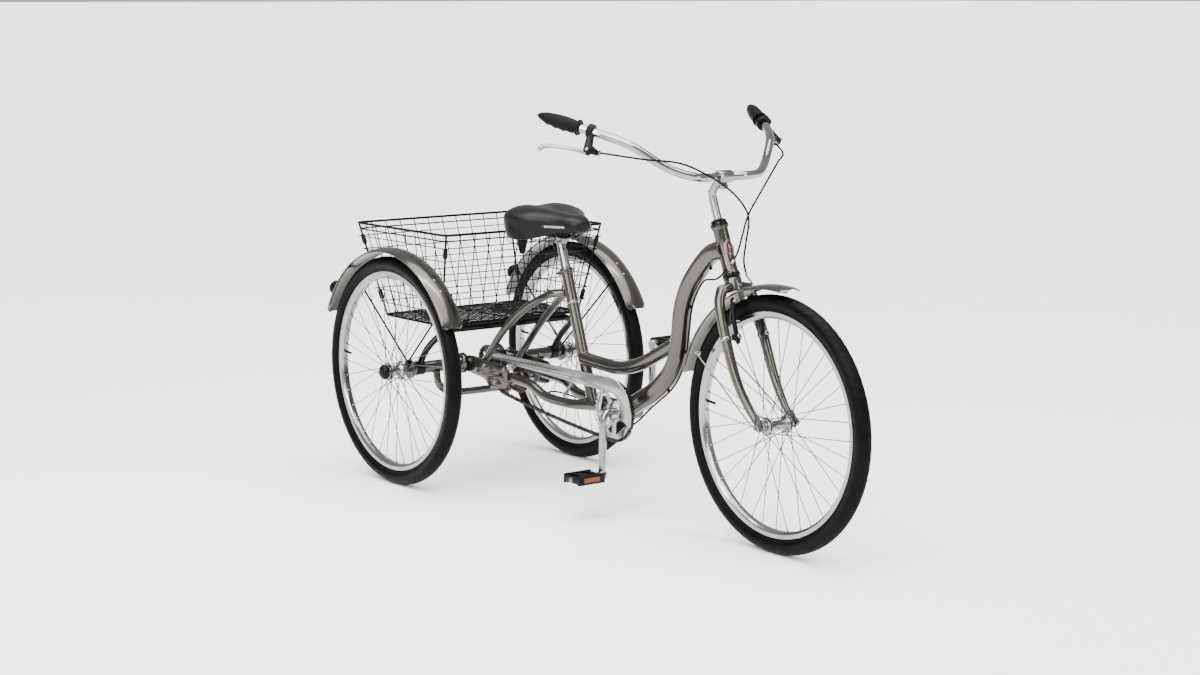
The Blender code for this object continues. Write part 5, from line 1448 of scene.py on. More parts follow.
# ---------------------------------------------------------------- fenders
@dataclass(frozen=True)
class Fenders:
    """The three painted fenders with rolled edges, their wire stays, rivets and rear reflectors."""

    stay_angles: tuple[float, float] = (45.0, 137.0)
    thickness: float = 0.0012
    edge_radius: float = 0.0014
    wire_radius: float = 0.0028

    def sheet(self, centre: Vector, start: float, end: float, steps: int) -> Shape:
        """Return a crowned strip with rolled edges, swept round an axle.

        Args:
            centre: the axle's middle.
            start: the first angle from forward, in degrees.
            end: the last angle.
            steps: how many spans the sweep has.

        Returns:
            The strip.
        """
        count, thick, half = 14, self.thickness, L.fender_half_width
        outer = []
        for index in range(count + 1):
            across = 1 - 2 * index / count
            drop = L.fender_crown * abs(across) ** 2.4
            outer.append((L.fender_radius - drop, across * half))
        inner = [(radius - thick, across * 0.985) for radius, across in reversed(outer)]
        section = outer + inner
        rings = []
        for step in range(steps + 1):
            share = step / steps
            angle = math.radians(start + (end - start) * share)
            end_gap = min(share, 1 - share) * steps * math.radians(end - start) / steps * L.fender_radius
            narrow = 1.0 if end_gap > 0.014 else math.sqrt(max(1 - (1 - end_gap / 0.014) ** 2, 0.1))
            rings.append([centre + in_plane(radius,
                                            angle) + Vector((0.0, across * (0.55 + 0.45 * narrow), 0.0))
                          for radius, across in section])
        shape = Shape().loft(rings)
        for sign in (-1, 1):
            edge = L.fender_radius - L.fender_crown - 0.0004
            line = [centre + in_plane(edge, math.radians(start + 2.6 + (end - start - 5.2) * step / steps))
                    + sign * (half - 0.0008) * ACROSS for step in range(steps + 1)]
            shape.bar(line, self.edge_radius, 8)
        return shape

    def build(self) -> None:
        """Make every fender."""
        for side, sign in SIDES.items():
            centre = L.rear_axle + sign * L.half_track * ACROSS
            put(self.sheet(centre, 27.0, 157.0, 90), f"fender_sheet_{side}", PAINT, "frame",
                [f"fender_{side}"], 40)
            self.rear_stay(side, sign)
            self.rivets(side, centre)
            self.reflector(side, centre)
        put(self.sheet(L.front_axle, 81.0, 165.0, 60), "front_fender_sheet", PAINT, "steering",
            ["front_fender"], 40)
        self.front_stay()

    def rear_stay(self, side: str, sign: int) -> None:
        """Make the bent wire that holds a rear fender from the axle housing's end.

        Args:
            side: right or left.
            sign: -1 for right, 1 for left.
        """
        line = L.half_track - L.fender_half_width - 0.0033
        foot = L.rear_axle + Vector((0.0, sign * 0.2755, 0.022))
        reach = L.fender_radius - L.fender_crown - 0.006
        tips = [L.rear_axle + in_plane(reach,
                                       math.radians(angle)) + sign * line * ACROSS for angle in self.stay_angles]
        points = [tips[0], foot + Vector((0.014, 0, 0.01)), foot, foot + Vector((-0.014, 0, 0.01)), tips[1]]
        path = [tips[0], tips[0].lerp(points[1], 0.5), *smooth(points[1:4], 6), tips[1].lerp(points[3], 0.5),
                tips[1]]
        shape = Shape().bar(path, self.wire_radius, 14)
        for tip in tips:
            shape.block((0.013, 0.004, 0.013), Matrix.Translation(tip + sign * 0.0004 * ACROSS), 0.001)
        shape.block((0.016, 0.004, 0.014), Matrix.Translation(foot + Vector((0.0, -sign * 0.001, -0.006))),
                    0.001)
        put(shape, f"fender_wire_{side}", BLACK_WIRE, "frame", [f"fender_stay_{side}"])

    def rivets(self, side: str, centre: Vector) -> None:
        """Make the rivets on a rear fender.

        Args:
            side: right or left.
            centre: the wheel's middle.
        """
        shape = Shape()
        for angle in (46.0, 53.0, 92.0, 136.0, 151.0):
            out = in_plane(1.0, math.radians(angle))
            place = frame_to(centre + (L.fender_radius - 0.0003) * out, out)
            shape.turned([(0.0046, 0.0), (0.0042, 0.0012), (0.0024, 0.0021), (0.0003, 0.0024)], place, 16)
        put(shape, f"fender_rivets_{side}", STEEL, "frame")

    def reflector(self, side: str, centre: Vector) -> None:
        """Make the round red reflector on its post at the back of a rear fender.

        Args:
            side: right or left.
            centre: the wheel's middle.
        """
        angle = math.radians(146.5)
        out = in_plane(1.0, angle)
        facing = Vector((-1.0, 0.0, 0.25)).normalized()
        middle = centre + (L.fender_radius + 0.0203) * out
        place = frame_to(middle, facing)
        cup = Shape().turned([(0.0005, -0.004), (0.017, -0.004), (0.0205, -0.001), (0.021, 0.004),
                              (0.021, 0.0085),
                              (0.0195, 0.0088), (0.019, 0.006), (0.0005, 0.006)], place, 40)
        cup.bar([centre + (L.fender_radius + 0.0009) * out, middle], 0.0045, 18)
        put(cup, f"reflector_cup_{side}", BLACK_PLASTIC, "frame", [f"reflector_{side}"])
        lens = Shape().turned([(0.0189, 0.0062), (0.0189, 0.0082), (0.015, 0.0098), (0.008, 0.0108),
                               (0.0004, 0.0111)],
                              place, 40)
        put(lens, f"reflector_lens_{side}", RED_LENS, "frame")

    @staticmethod
    def front_stay() -> None:
        """Make the front fender's wire stays and the bracket under the fork crown."""
        shape = Shape()
        for sign in (-1, 1):
            points = [Vector((0.376, sign * 0.046, 0.484)), Vector((0.41, sign * 0.05, 0.461)),
                      Vector((0.47, sign * 0.055, 0.425)), Vector((0.59, sign * 0.064, 0.345)),
                      Vector((0.622, sign * 0.0665, 0.329))]
            shape.bar(smooth(points, 5), 0.0021, 12)
            shape.block((0.015, 0.003, 0.013), Matrix.Translation(Vector((0.378, sign * 0.0395, 0.482))),
                        0.0008)
            shape.bar([Vector((0.378, sign * 0.034, 0.482)), Vector((0.378, sign * 0.049, 0.482))], 0.003, 14)
        put(shape, "front_fender_wires", SATIN, "steering")
        strap = Shape()
        strap.block((0.0024, 0.018, 0.052), frame_to(L.on_steering(0.348, 0.0185), L.steer_up), 0.0006)
        strap.nut(frame_to(L.on_steering(0.366, 0.019), L.steer_forward, UP), 0.0062, 0.005)
        put(strap, "front_fender_strap", STEEL, "steering")


# ---------------------------------------------------------------- rear axle and drive
@dataclass(frozen=True)
class RearAxle:
    """The live axle with its end caps, brake drum and housing, and the brake's arm."""

    shaft_radius: float = 0.0075
    shaft_reach: float = 0.36
    drum_radius: float = 0.04

    def build(self) -> None:
        """Make every piece of the axle and its brake."""
        place = sideways(L.rear_axle)
        seat = L.half_track + 0.0265
        radius, reach = self.shaft_radius, self.shaft_reach
        shaft = Shape().turned([(0.0004, -reach), (radius, -reach), (radius, reach), (0.0004, reach)], place,
                               28)
        put(shaft, "axle_shaft", STEEL, "drive_wheel", ["rear_axle"])
        caps, washers = Shape(), Shape()
        for sign in SIDES.values():
            dome = [(0.0076, seat + 0.002), (0.0205, seat + 0.002), (0.0215, seat + 0.004),
                    (0.0213, seat + 0.009),
                    (0.0185, 0.3605), (0.013, 0.365), (0.006, 0.3668), (0.0004, 0.367)]
            end = sideways(L.rear_axle, sign)
            caps.turned(dome, end, 40)
            washers.turned([(0.0076, seat - 0.0004), (0.019, seat - 0.0004), (0.019, seat + 0.0018),
                            (0.0076, seat + 0.0018)], end, 36, ring=True)
        put(caps, "axle_caps", BLACK_PLASTIC, "drive_wheel")
        put(washers, "axle_washers", CHROME, "drive_wheel")
        drum = Shape().turned([(0.0076, 0.024), (self.drum_radius - 0.0015, 0.024),
                               (self.drum_radius, 0.0255),
                                (self.drum_radius, 0.04), (0.0076, 0.04)], place, 48)
        put(drum, "brake_drum", STEEL, "drive_wheel")
        self.band(place)

    def band(self, place: Matrix) -> None:
        """Make the fixed brake housing with its lug, and the arm that the cable pulls.

        Args:
            place: the axle's middle, with local Z along the axle.
        """
        profile = [(0.041, 0.0235), (0.044, 0.023), (0.045, 0.0245), (0.045, 0.0425), (0.0435, 0.044),
                   (0.014, 0.044), (0.0098, 0.0425), (0.0098, 0.0412), (0.041, 0.041)]
        shape = Shape().turned(profile, place, 48, ring=True)
        shape.block((0.022, 0.012, 0.016), Matrix.Translation(L.rear_axle + Vector((0.054, 0.034, 0.0))),
                    0.0015)
        put(shape, "brake_band_housing", BLACK_PAINT, "frame", ["brake_housing"])
        pivot = L.rear_axle + Vector((0.056, 0.0465, 0.0))
        upright = Matrix.Rotation(math.radians(90), 4, "X")
        outline = [(0.0065 * math.cos(a), 0.0065 * math.sin(a)) for a in turns(9, math.pi / 2)[:5]]
        outline += [(0.05, -0.0042), (0.053, 0.0), (0.05, 0.0042)]
        arm = Shape().plate(outline, 0.0028, Matrix.Translation(pivot + Vector((0.0, 0.0004, 0.0))) @ upright,
                            [(0.046, 0.0, 0.0017)], 0.0004)
        arm.nut(sideways(pivot + 0.0018 * ACROSS), 0.0052, 0.0032)
        put(arm, "brake_band_arm", STEEL, "rear_brake_arm", ["rear_brake_arm"])


@dataclass(frozen=True)
class Chain:
    """A roller chain laid round two sprockets.

    Attributes:
        name: the CAD node that it stands for.
        first: the middle of the sprocket ahead.
        first_teeth: how many teeth that one has.
        second: the middle of the sprocket behind.
        second_teeth: how many teeth that one has.
        line: how far left of the middle plane the chain runs.
        sag: how far the lower run hangs.
    """

    name: str
    first: Vector
    first_teeth: int
    second: Vector
    second_teeth: int
    line: float
    sag: float

    def loop(self) -> list[Vector]:
        """Return the closed line that the chain's pins follow."""
        first_radius, second_radius = L.pitch_radius(self.first_teeth), L.pitch_radius(self.second_teeth)
        run = self.second - self.first
        heading = math.atan2(run.z, run.x)
        lean = math.asin((first_radius - second_radius) / math.hypot(run.x, run.z))
        upper, lower = heading - math.pi / 2 + lean, heading + math.pi / 2 - lean
        path = [self.first + in_plane(first_radius,
                                      lower - 2 * math.pi + (upper - lower + 2 * math.pi) * i / 120)
                for i in range(121)]
        start, end = path[-1], self.second + in_plane(second_radius, upper)
        path += [start.lerp(end, index / 20) for index in range(1, 20)]
        path += [self.second + in_plane(second_radius, upper + (lower - upper) * i / 80) for i in range(81)]
        start, end = path[-1], path[0]
        for index in range(1, 30):
            share = index / 30
            path.append(start.lerp(end, share) - Vector((0.0, 0.0, 4 * self.sag * share * (1 - share))))
        return [point + self.line * ACROSS for point in path]

    def pins(self) -> list[Vector]:
        """Return the pins' places, one pitch apart along the loop."""
        path = self.loop()
        lengths = [0.0]
        for index in range(len(path)):
            lengths.append(lengths[-1] + (path[(index + 1) % len(path)] - path[index]).length)
        count = 2 * round(lengths[-1] / L.pitch / 2)
        found, span = [], 0
        for index in range(count):
            goal = lengths[-1] * index / count
            while lengths[span + 1] < goal:
                span += 1
            share = (goal - lengths[span]) / (lengths[span + 1] - lengths[span])
            found.append(path[span].lerp(path[(span + 1) % len(path)], share))
        return found

    def phase(self, centre: Vector) -> float:
        """Return the angle of a pin that sits on the sprocket round this centre."""
        pin = min(self.pins(), key=lambda p: abs((p - centre).x) if (p.z > centre.z) else 9.0)
        return math.atan2(pin.z - centre.z, pin.x - centre.x)

    def build(self) -> None:
        """Make the chain's links."""
        pins = self.pins()
        shape = Shape()
        for index, pin in enumerate(pins):
            following = pins[(index + 1) % len(pins)]
            along = following - pin
            offset = 0.0029 if index % 2 else 0.0041
            waist, end, half = 0.0036, 0.0044, along.length / 2
            arc = [(end * math.cos(a), end * math.sin(a)) for a in turns(10, math.radians(50))[:8]]
            arc = [(x, y) for x, y in arc if x < 0.0027]
            outline = [*arc, *((2 * half - x, y) for x, y in arc), (half, -waist), (half, waist)]
            outline.sort(key=lambda point: math.atan2(point[1], point[0] - half))
            place = Matrix.Translation(pin) @ Matrix.Rotation(-math.atan2(along.z, along.x), 4, "Y")
            for sign in (-1, 1):
                rings = [[Vector((x, sign * (offset + deep), z)) for x, z in outline] for deep in (-0.0005,
                                                                                                   0.0005)]
                shape.loft(rings, place=place)
            shape.bar([pin - 0.0024 * ACROSS, pin + 0.0024 * ACROSS], 0.0036, 10)
            shape.bar([pin - 0.0054 * ACROSS, pin + 0.0054 * ACROSS], 0.0017, 8)
        put(shape, f"{self.name}_links", CHAIN_STEEL, "frame", [self.name], 30)


DRIVE_CHAIN = Chain("drive_chain", L.bracket, 40, L.mid_hub, 18, L.chain_line, 0.006)
AXLE_CHAIN = Chain("axle_chain", L.mid_hub, 18, L.rear_axle, 20, L.axle_chain_line, 0.001)


def toothed(teeth: int, phase: float) -> list[tuple[float, float]]:
    """Return the outline of a sprocket whose valleys hold a chain's rollers.

    Args:
        teeth: how many teeth it has.
        phase: the angle of one valley.

    Returns:
        The outline in the sprocket's own plane.
    """
    root, tip = L.pitch_radius(teeth) - 0.004, L.pitch_radius(teeth) + 0.003
    outline = []
    for tooth in range(teeth):
        for share, radius in ((-0.17, root + 0.0006), (0.0, root), (0.17, root + 0.0006),
                              (0.34, root + 0.0048),
                              (0.45, tip), (0.55, tip), (0.66, root + 0.0048)):
            angle = phase + 2 * math.pi * (tooth + share) / teeth
            outline.append((radius * math.cos(angle), radius * math.sin(angle)))
    return outline


def upright_at(point: Vector, across: float) -> Matrix:
    """Return the place where local X is forward, local Y is up and the origin is beside the point."""
    return Matrix.Translation(Vector((point.x, across, point.z))) @ Matrix.Rotation(math.radians(90), 4, "X")


@dataclass(frozen=True)
class Drive:
    """The crank with its chainring and pedals, the middle hub, the axle's sprocket, the chains and their guard."""

    crank_length: float = 0.17
    arm_offset: float = 0.088
    crank_radius: float = 0.0092
    guard_outer: float = 0.092
    guard_inner: float = 0.053
    guard_line: float = -0.0625

    def build(self) -> None:
        """Make every piece of the drive."""
        self.crank()
        self.chainring()
        for side, sign in SIDES.items():
            Pedal(side, sign).build()
        self.mid_hub()
        self.axle_sprocket()
        DRIVE_CHAIN.build()
        AXLE_CHAIN.build()
        self.guard()

    def crank(self) -> None:
        """Make the forged one-piece crank with its cones."""
        down, out, neck = Vector((0.0, 0.0, -self.crank_length)), self.arm_offset, 0.044
        arm = [L.bracket + down - (out + 0.001) * ACROSS, L.bracket + 0.92 * down - out * ACROSS,
               L.bracket + 0.5 * down - (out - 0.003) * ACROSS, L.bracket + 0.16 * down - 0.084 * ACROSS,
               L.bracket + 0.05 * down - 0.077 * ACROSS, L.bracket - 0.068 * ACROSS,
               L.bracket - 0.056 * ACROSS,
               L.bracket - neck * ACROSS]
        path = smooth(arm + [2 * L.bracket - point for point in arm][::-1], 5)
        scales = []
        for point in path:
            low = abs(point.z - L.bracket.z) / self.crank_length
            scales.append(1.04 + 0.1 * math.sin(math.pi * min(low, 1.0)) if low > 0.04 else 0.98)
        shape = Shape().bar(path, self.crank_radius, 24, scales=scales)
        for sign in (-1, 1):
            end = L.bracket + sign * Vector((0.0, out, self.crank_length))
            shape.turned([(0.0004, -0.0085), (0.0115, -0.0085), (0.0125, -0.007), (0.0125, 0.007),
                          (0.0115, 0.0085),
                          (0.0004, 0.0085)], sideways(end), 32)
            cone = sideways(L.bracket + sign * 0.0405 * ACROSS, sign)
            shape.turned([(0.0094, 0.0), (0.0185, 0.0), (0.0175, 0.0034), (0.0094, 0.004)], cone, 8,
                         ring=True)
        put(shape, "crank_forging", SATIN, "crankset", ["crank"])

    @staticmethod
    def chainring() -> None:
        """Make the pressed chainring with its teeth, its openings and its drive pin."""
        outline = toothed(40, DRIVE_CHAIN.phase(L.bracket))
        slots = []
        for turn in turns(5, math.radians(18)):
            slot = []
            for radius, spread in ((0.031, 0.34), (0.036, 0.42), (0.058, 0.5), (0.0635, 0.46)):
                slot.append((radius, turn - spread))
            for radius, spread in ((0.0635, 0.46), (0.058, 0.5), (0.036, 0.42), (0.031, 0.34)):
                slot.append((radius, turn + spread))
            slots.append(rounded([(r * math.cos(a), r * math.sin(a)) for r, a in slot], 0.006, 3))
        shape = Shape().plate(outline, 0.0026, upright_at(L.bracket, L.chain_line), [(0.0, 0.0, 0.01)],
                              0.0004, slots)
        face = sideways(L.bracket + (L.chain_line - 0.0013) * ACROSS, -1)
        shape.turned([(0.01, 0.0), (0.024, 0.0), (0.0225, 0.0016), (0.01, 0.0022)], face, 48, ring=True)
        shape.bar([L.bracket + Vector((0.0, L.chain_line - 0.001, -0.024)),
                   L.bracket + Vector((0.0, L.chain_line - 0.013, -0.024))], 0.0042, 16, domed=True)
        put(shape, "chainring_plate", CHROME, "crankset", ["chainring"], 25)

    @staticmethod
    def mid_hub() -> None:
        """Make the middle hub: shell, spoke flanges, two brown freewheels, axle, cones and nuts."""
        place = sideways(L.mid_hub)
        face = L.plate_offset - 0.003 - 0.0015
        shell = [(0.0105, -face + 0.0065), (0.013, -face + 0.007), (0.013, L.chain_line - 0.008),
                 (0.022, L.chain_line + 0.006), (0.022, L.chain_line + 0.0095),
                 (0.0165, L.chain_line + 0.0125),
                 (0.015, -0.02), (0.0165, -0.003), (0.018, 0.011), (0.018, 0.02), (0.0235, 0.0225),
                 (0.0235, 0.025), (0.015, 0.028), (0.015, 0.044), (0.0105, 0.048)]
        put(Shape().turned(shell, place, 44), "mid_hub_shell", SATIN, "mid_hub", ["mid_hub"], 30)
        freewheels = Shape()
        for chain, line in ((DRIVE_CHAIN, L.chain_line), (AXLE_CHAIN, L.axle_chain_line)):
            freewheels.plate(toothed(18, chain.phase(L.mid_hub)), 0.0026, upright_at(L.mid_hub, line),
                             [(0.0, 0.0, 0.012)], 0.0004)
            freewheels.turned([(0.012, -0.0065), (0.0235, -0.006), (0.027, -0.0012), (0.027, 0.0012),
                               (0.0235, 0.006), (0.012, 0.0065)],
                              sideways(L.mid_hub + line * ACROSS), 44, ring=True)
            ring = sideways(L.mid_hub + line * ACROSS, -1)
            freewheels.turned([(0.0165, 0.006), (0.0205, 0.006), (0.0205, 0.0071), (0.0165, 0.0071)], ring,
                              44, ring=True)
        put(freewheels, "freewheels", BROWN_STEEL, "mid_hub", sharp=25)
        axle = Shape().turned([(0.0004, -face - 0.0185), (0.0042, -face - 0.0185), (0.0048, -face - 0.017),
                               (0.0048, face + 0.017), (0.0042, face + 0.0185), (0.0004, face + 0.0185)],
                               place, 20)
        for sign in (-1, 1):
            cone = sideways(L.mid_hub + sign * (face - 0.0056) * ACROSS, sign)
            axle.turned([(0.0049, 0.0), (0.011, 0.0), (0.0115, 0.0012), (0.0115, 0.0044), (0.0049, 0.0048)],
                        cone, 6, ring=True)
        put(axle, "mid_hub_axle", STEEL, "mid_hub")
        nuts = Shape()
        for sign in (-1, 1):
            seat = L.mid_hub + sign * (L.plate_offset + 0.0032) * ACROSS
            nuts.turned([(0.0052, 0.0), (0.011, 0.0), (0.011, 0.0014), (0.0052, 0.0016)],
                        sideways(seat, sign), 28, ring=True)
            nuts.turned([(0.0051, 0.0), (0.0088, 0.0), (0.0088, 0.0068), (0.0076, 0.008), (0.0051, 0.008)],
                        sideways(seat + sign * 0.0016 * ACROSS, sign), 6, ring=True)
        put(nuts, "mid_hub_nuts", STEEL, "frame")

    @staticmethod
    def axle_sprocket() -> None:
        """Make the driven sprocket on the axle, with its round holes and its clamped boss."""
        holes = [(0.0245 * math.cos(a), 0.0245 * math.sin(a), 0.0048) for a in turns(6, 0.3)]
        outline = toothed(20, AXLE_CHAIN.phase(L.rear_axle))
        shape = Shape().plate(outline, 0.0028, upright_at(L.rear_axle, L.axle_chain_line),
                              [(0.0, 0.0, 0.008), *holes], 0.0004)
        place = sideways(L.rear_axle + L.axle_chain_line * ACROSS)
        shape.turned([(0.0079, -0.0118), (0.015, -0.0118), (0.016, -0.0105), (0.016, 0.0105), (0.015, 0.0118),
                      (0.0079, 0.0118)], place, 40, ring=True)
        shape.nut(frame_to(L.rear_axle + Vector((0.0, L.axle_chain_line + 0.007, 0.0155)), UP, ACROSS), 0.004,
                  0.0024)
        put(shape, "axle_sprocket_plate", BLACK_PAINT, "drive_wheel", ["axle_sprocket"], 25)

    def guard(self) -> None:
        """Make the chain guard with its rolled edge, its brackets and its screws."""
        outer, inner, tail_depth = self.guard_outer, self.guard_inner, 0.019
        tail = L.rear_axle.x + 0.112 - L.bracket.x
        front, steps = math.radians(-18), 28
        sweep = [math.pi / 2 + (front - math.pi / 2) * index / steps for index in range(steps + 1)]
        outline = [(tail, outer - tail_depth), (tail + 0.022, outer)]
        outline += [(outer * math.cos(a), outer * math.sin(a)) for a in sweep]
        outline += [(inner * math.cos(a), inner * math.sin(a)) for a in reversed(sweep)]
        place = upright_at(L.bracket, self.guard_line)
        low = (tail + L.bracket.x + 0.02, -0.08, L.bracket.z + 0.06)
        high = (L.bracket.x - 0.15, -0.05, L.bracket.z + 0.086)
        paint = GuardPaint("guard_paint", (0.25, 0.25, 0.255), (0.3, 0.3, 0.305), (0.18, 0.28), 0.9, coat=0.2,
                           mottle=10.0, grain_scale=900.0, grain_height=0.000006, low=low, high=high)
        shape = Shape().plate(outline, 0.0018, place, bevel=0.0004)
        edge = [place @ Vector((x, y, 0.0)) for x, y in outline]
        shape.bar([edge[0], edge[0].lerp(edge[1], 0.6), edge[1], *edge[2:steps + 3]], 0.0019, 10, domed=True)
        put(shape, "guard_sheet", paint, "frame", ["chain_guard"])
        arms, screws = Shape(), Shape()
        for x, z, to in ((-0.175, 0.066, Vector((-0.181, -0.05, 0.2845))),
                         (-0.455, 0.068, Vector((-0.438, -0.0765, 0.3265)))):
            top = Vector((L.bracket.x + x, -0.0612, L.bracket.z + z))
            run = [top, top + Vector((0.0, 0.003, -0.012)), to + Vector((0.0, -0.002, 0.01)), to]
            arms.bar(smooth(run, 4), 0.0042, 12, flat=0.45)
            screws.turned([(0.0052, 0.0), (0.005, 0.0014), (0.0034, 0.0024), (0.0003, 0.0028)],
                          sideways(top - 0.0022 * ACROSS, -1), 20)
        put(arms, "guard_arms", STEEL, "frame")
        put(screws, "guard_screws", CHROME, "frame")


@dataclass(frozen=True)
class Pedal:
    """A pedal: moulded body, toothed cages, two amber reflectors and its spindle.

    Attributes:
        side: right or left.
        sign: -1 for right, 1 for left.
    """

    side: str
    sign: int

    def build(self) -> None:
        """Make every piece of the pedal."""
        end = L.bracket + self.sign * Vector((0.0, 0.088, 0.17))
        inner = 0.088 + 0.0095 + 0.005
        middle = Vector((end.x, self.sign * (inner + 0.045), end.z))
        body = f"pedal_{self.side}"
        at = Matrix.Translation
        shape = Shape()
        for x in (-0.0305, 0.0305):
            shape.block((0.0075, 0.0895, 0.025), at(middle + Vector((x, 0.0, 0.0))), 0.0022)
        for share in (-1, 0, 1):
            width = 0.01 if share else 0.024
            shape.block((0.062, width, 0.0185), at(middle + Vector((0.0, share * 0.039, 0.0))), 0.0025)
        for z in (-1, 1):
            for y in (-0.0215, 0.0215):
                shape.block((0.06, 0.006, 0.004), at(middle + Vector((0.0, y, z * 0.0102))), 0.0012)
            for x in (-0.0305, 0.0305):
                for index in range(9):
                    tooth = middle + Vector((x, -0.036 + index * 0.009, z * 0.0121))
                    shape.block((0.007, 0.0036, 0.0026), at(tooth), 0.0008)
        put(shape, f"{body}_body", BLACK_PLASTIC, body, [body])
        lens = Shape()
        for sign in (-1, 1):
            lens.block((0.0022, 0.052, 0.0125), at(middle + Vector((sign * 0.0342, 0.0, 0.0))), 0.0008)
        put(lens, f"{body}_reflectors", AMBER_LENS, body)
        spindle = Shape()
        run = sideways(Vector((middle.x, 0.0, middle.z)), self.sign)
        spindle.turned([(0.0004, 0.096), (0.0062, 0.096), (0.0078, 0.0975), (0.0078, 0.1), (0.0065, 0.101),
                        (0.0065, inner + 0.004), (0.009, inner + 0.004), (0.009, inner + 0.008),
                        (0.0004, inner + 0.009)], run, 24)
        cap = inner + 0.089
        spindle.turned([(0.008, cap), (0.0078, cap + 0.0018), (0.006, cap + 0.0028), (0.0003, cap + 0.003)],
                       run, 24)
        put(spindle, f"{body}_spindle", STEEL, body)


# ---------------------------------------------------------------- steering
@dataclass(frozen=True)
class Fork:
    """The fork with its crown, tapered blades and dropouts, the headset's nuts and the front axle."""

    blade_radius: float = 0.0145
    crown_half: float = 0.0575

    def build(self) -> None:
        """Make every piece of the fork."""
        place = frame_to(L.front_axle - L.fork_rake * L.steer_forward, L.steer_up)
        crown, lip = L.crown_height, L.head_bottom - L.cup_height - 0.0003
        shape = Shape().turned([(0.0004, crown - 0.012), (0.022, crown - 0.012), (0.0225, crown - 0.009),
                                (0.0225, lip - 0.005), (0.0215, lip - 0.0015), (0.0127, lip),
                                (0.0127, 0.5365),
                                (0.0112, 0.5365), (0.0112, 0.45), (0.0004, 0.45)], place, 44)
        rings = []
        half, steps = self.crown_half, 22
        for across in [half * (2 * index / steps - 1) for index in range(steps + 1)]:
            share = abs(across) / half
            deep = 0.0165 * math.sqrt(max(1 - 0.92 * share**6, 0.03))
            tall = 0.0125 * math.sqrt(max(1 - 0.9 * share**8, 0.03))
            drop = -0.014 * share**2.4
            ring = []
            for angle in turns(28):
                x = math.copysign(abs(math.cos(angle)) ** 0.75, math.cos(angle))
                z = math.copysign(abs(math.sin(angle)) ** 0.75, math.sin(angle))
                ring.append(L.on_steering(crown + 0.002 + drop + tall * z, deep * x, across))
            rings.append(ring)
        shape.loft(rings)
        for sign in SIDES.values():
            self.blade(shape, sign)
        put(shape, "fork_tubes", PAINT, "steering", ["fork"], 50)
        self.headset(place)
        self.axle()

    def blade(self, shape: Shape, sign: int) -> None:
        """Add one blade and its dropout.

        Args:
            shape: the fork's shape.
            sign: -1 for right, 1 for left.
        """
        shares = ((0.362, 0.0, 0.044), (0.325, -0.004, 0.058), (0.24, -0.006, 0.063), (0.14, -0.004, 0.063),
                  (0.07, 0.008, 0.06), (0.02, 0.024, 0.058))
        path = smooth([L.on_steering(up, ahead, sign * across) for up, ahead, across in shares], 8)
        count = len(path) - 1
        scales = [1 - 0.42 * (index / count) ** 2 for index in range(count + 1)]
        shape.bar(path, self.blade_radius, 26, scales=scales, domed=True)
        tip = L.front_axle + Vector((0.0, sign * 0.058, 0.0))
        corners = [(-0.016, 0.028), (0.005, 0.034), (0.012, 0.008), (0.012, -0.008), (0.0, -0.0135),
                   (-0.012, -0.008)]
        outline = rounded([(-x, y) for x, y in corners], 0.006)
        shape.plate(outline, 0.0055, frame_to(tip, ACROSS, L.steer_up), [(0.0, 0.0, 0.0054)], 0.0007)

    @staticmethod
    def headset(place: Matrix) -> None:
        """Make the crown race, the adjusting race and the locknut.

        Args:
            place: the steering axis's foot, with local Z up the axis.
        """
        top = L.head_top + L.cup_height
        shape = Shape().turned([(0.0128, top + 0.0004), (0.02, top + 0.0004), (0.021, top + 0.0014),
                                (0.021, top + 0.0032), (0.0128, top + 0.0036)], place, 44, ring=True)
        shape.turned([(0.0116, top + 0.0036), (0.0196, top + 0.0036), (0.02, top + 0.0044),
                      (0.02, top + 0.0076),
                      (0.0188, top + 0.0084), (0.0116, top + 0.0084)], place, 8, ring=True)
        low = L.head_bottom - L.cup_height
        shape.turned([(0.0128, low - 0.003), (0.0225, low - 0.003), (0.0225, low - 0.0012),
                      (0.0205, low - 0.0004),
                      (0.0128, low - 0.0004)], place, 44, ring=True)
        put(shape, "steering_races", BLACK_PAINT, "steering")

    @staticmethod
    def axle() -> None:
        """Make the front axle with its cones, washers and nuts."""
        place = sideways(L.front_axle)
        shape = Shape().turned([(0.0004, -0.0755), (0.004, -0.0755), (0.0047, -0.074), (0.0047, 0.074),
                                (0.004, 0.0755), (0.0004, 0.0755)], place, 24)
        for sign in (-1, 1):
            out = sideways(L.front_axle, sign)
            shape.turned([(0.0049, 0.0448), (0.0105, 0.0448), (0.0105, 0.05), (0.0088, 0.0545),
                          (0.0049, 0.055)], out, 30, ring=True)
            shape.turned([(0.0049, 0.0612), (0.0105, 0.0612), (0.0105, 0.0626), (0.0049, 0.0628)], out, 30,
                         ring=True)
            shape.turned([(0.0049, 0.0628), (0.0092, 0.0628), (0.0092, 0.0696), (0.008, 0.0708),
                          (0.0049, 0.0708)], out, 6, ring=True)
        put(shape, "front_axle_parts", STEEL, "steering", ["front_axle"])


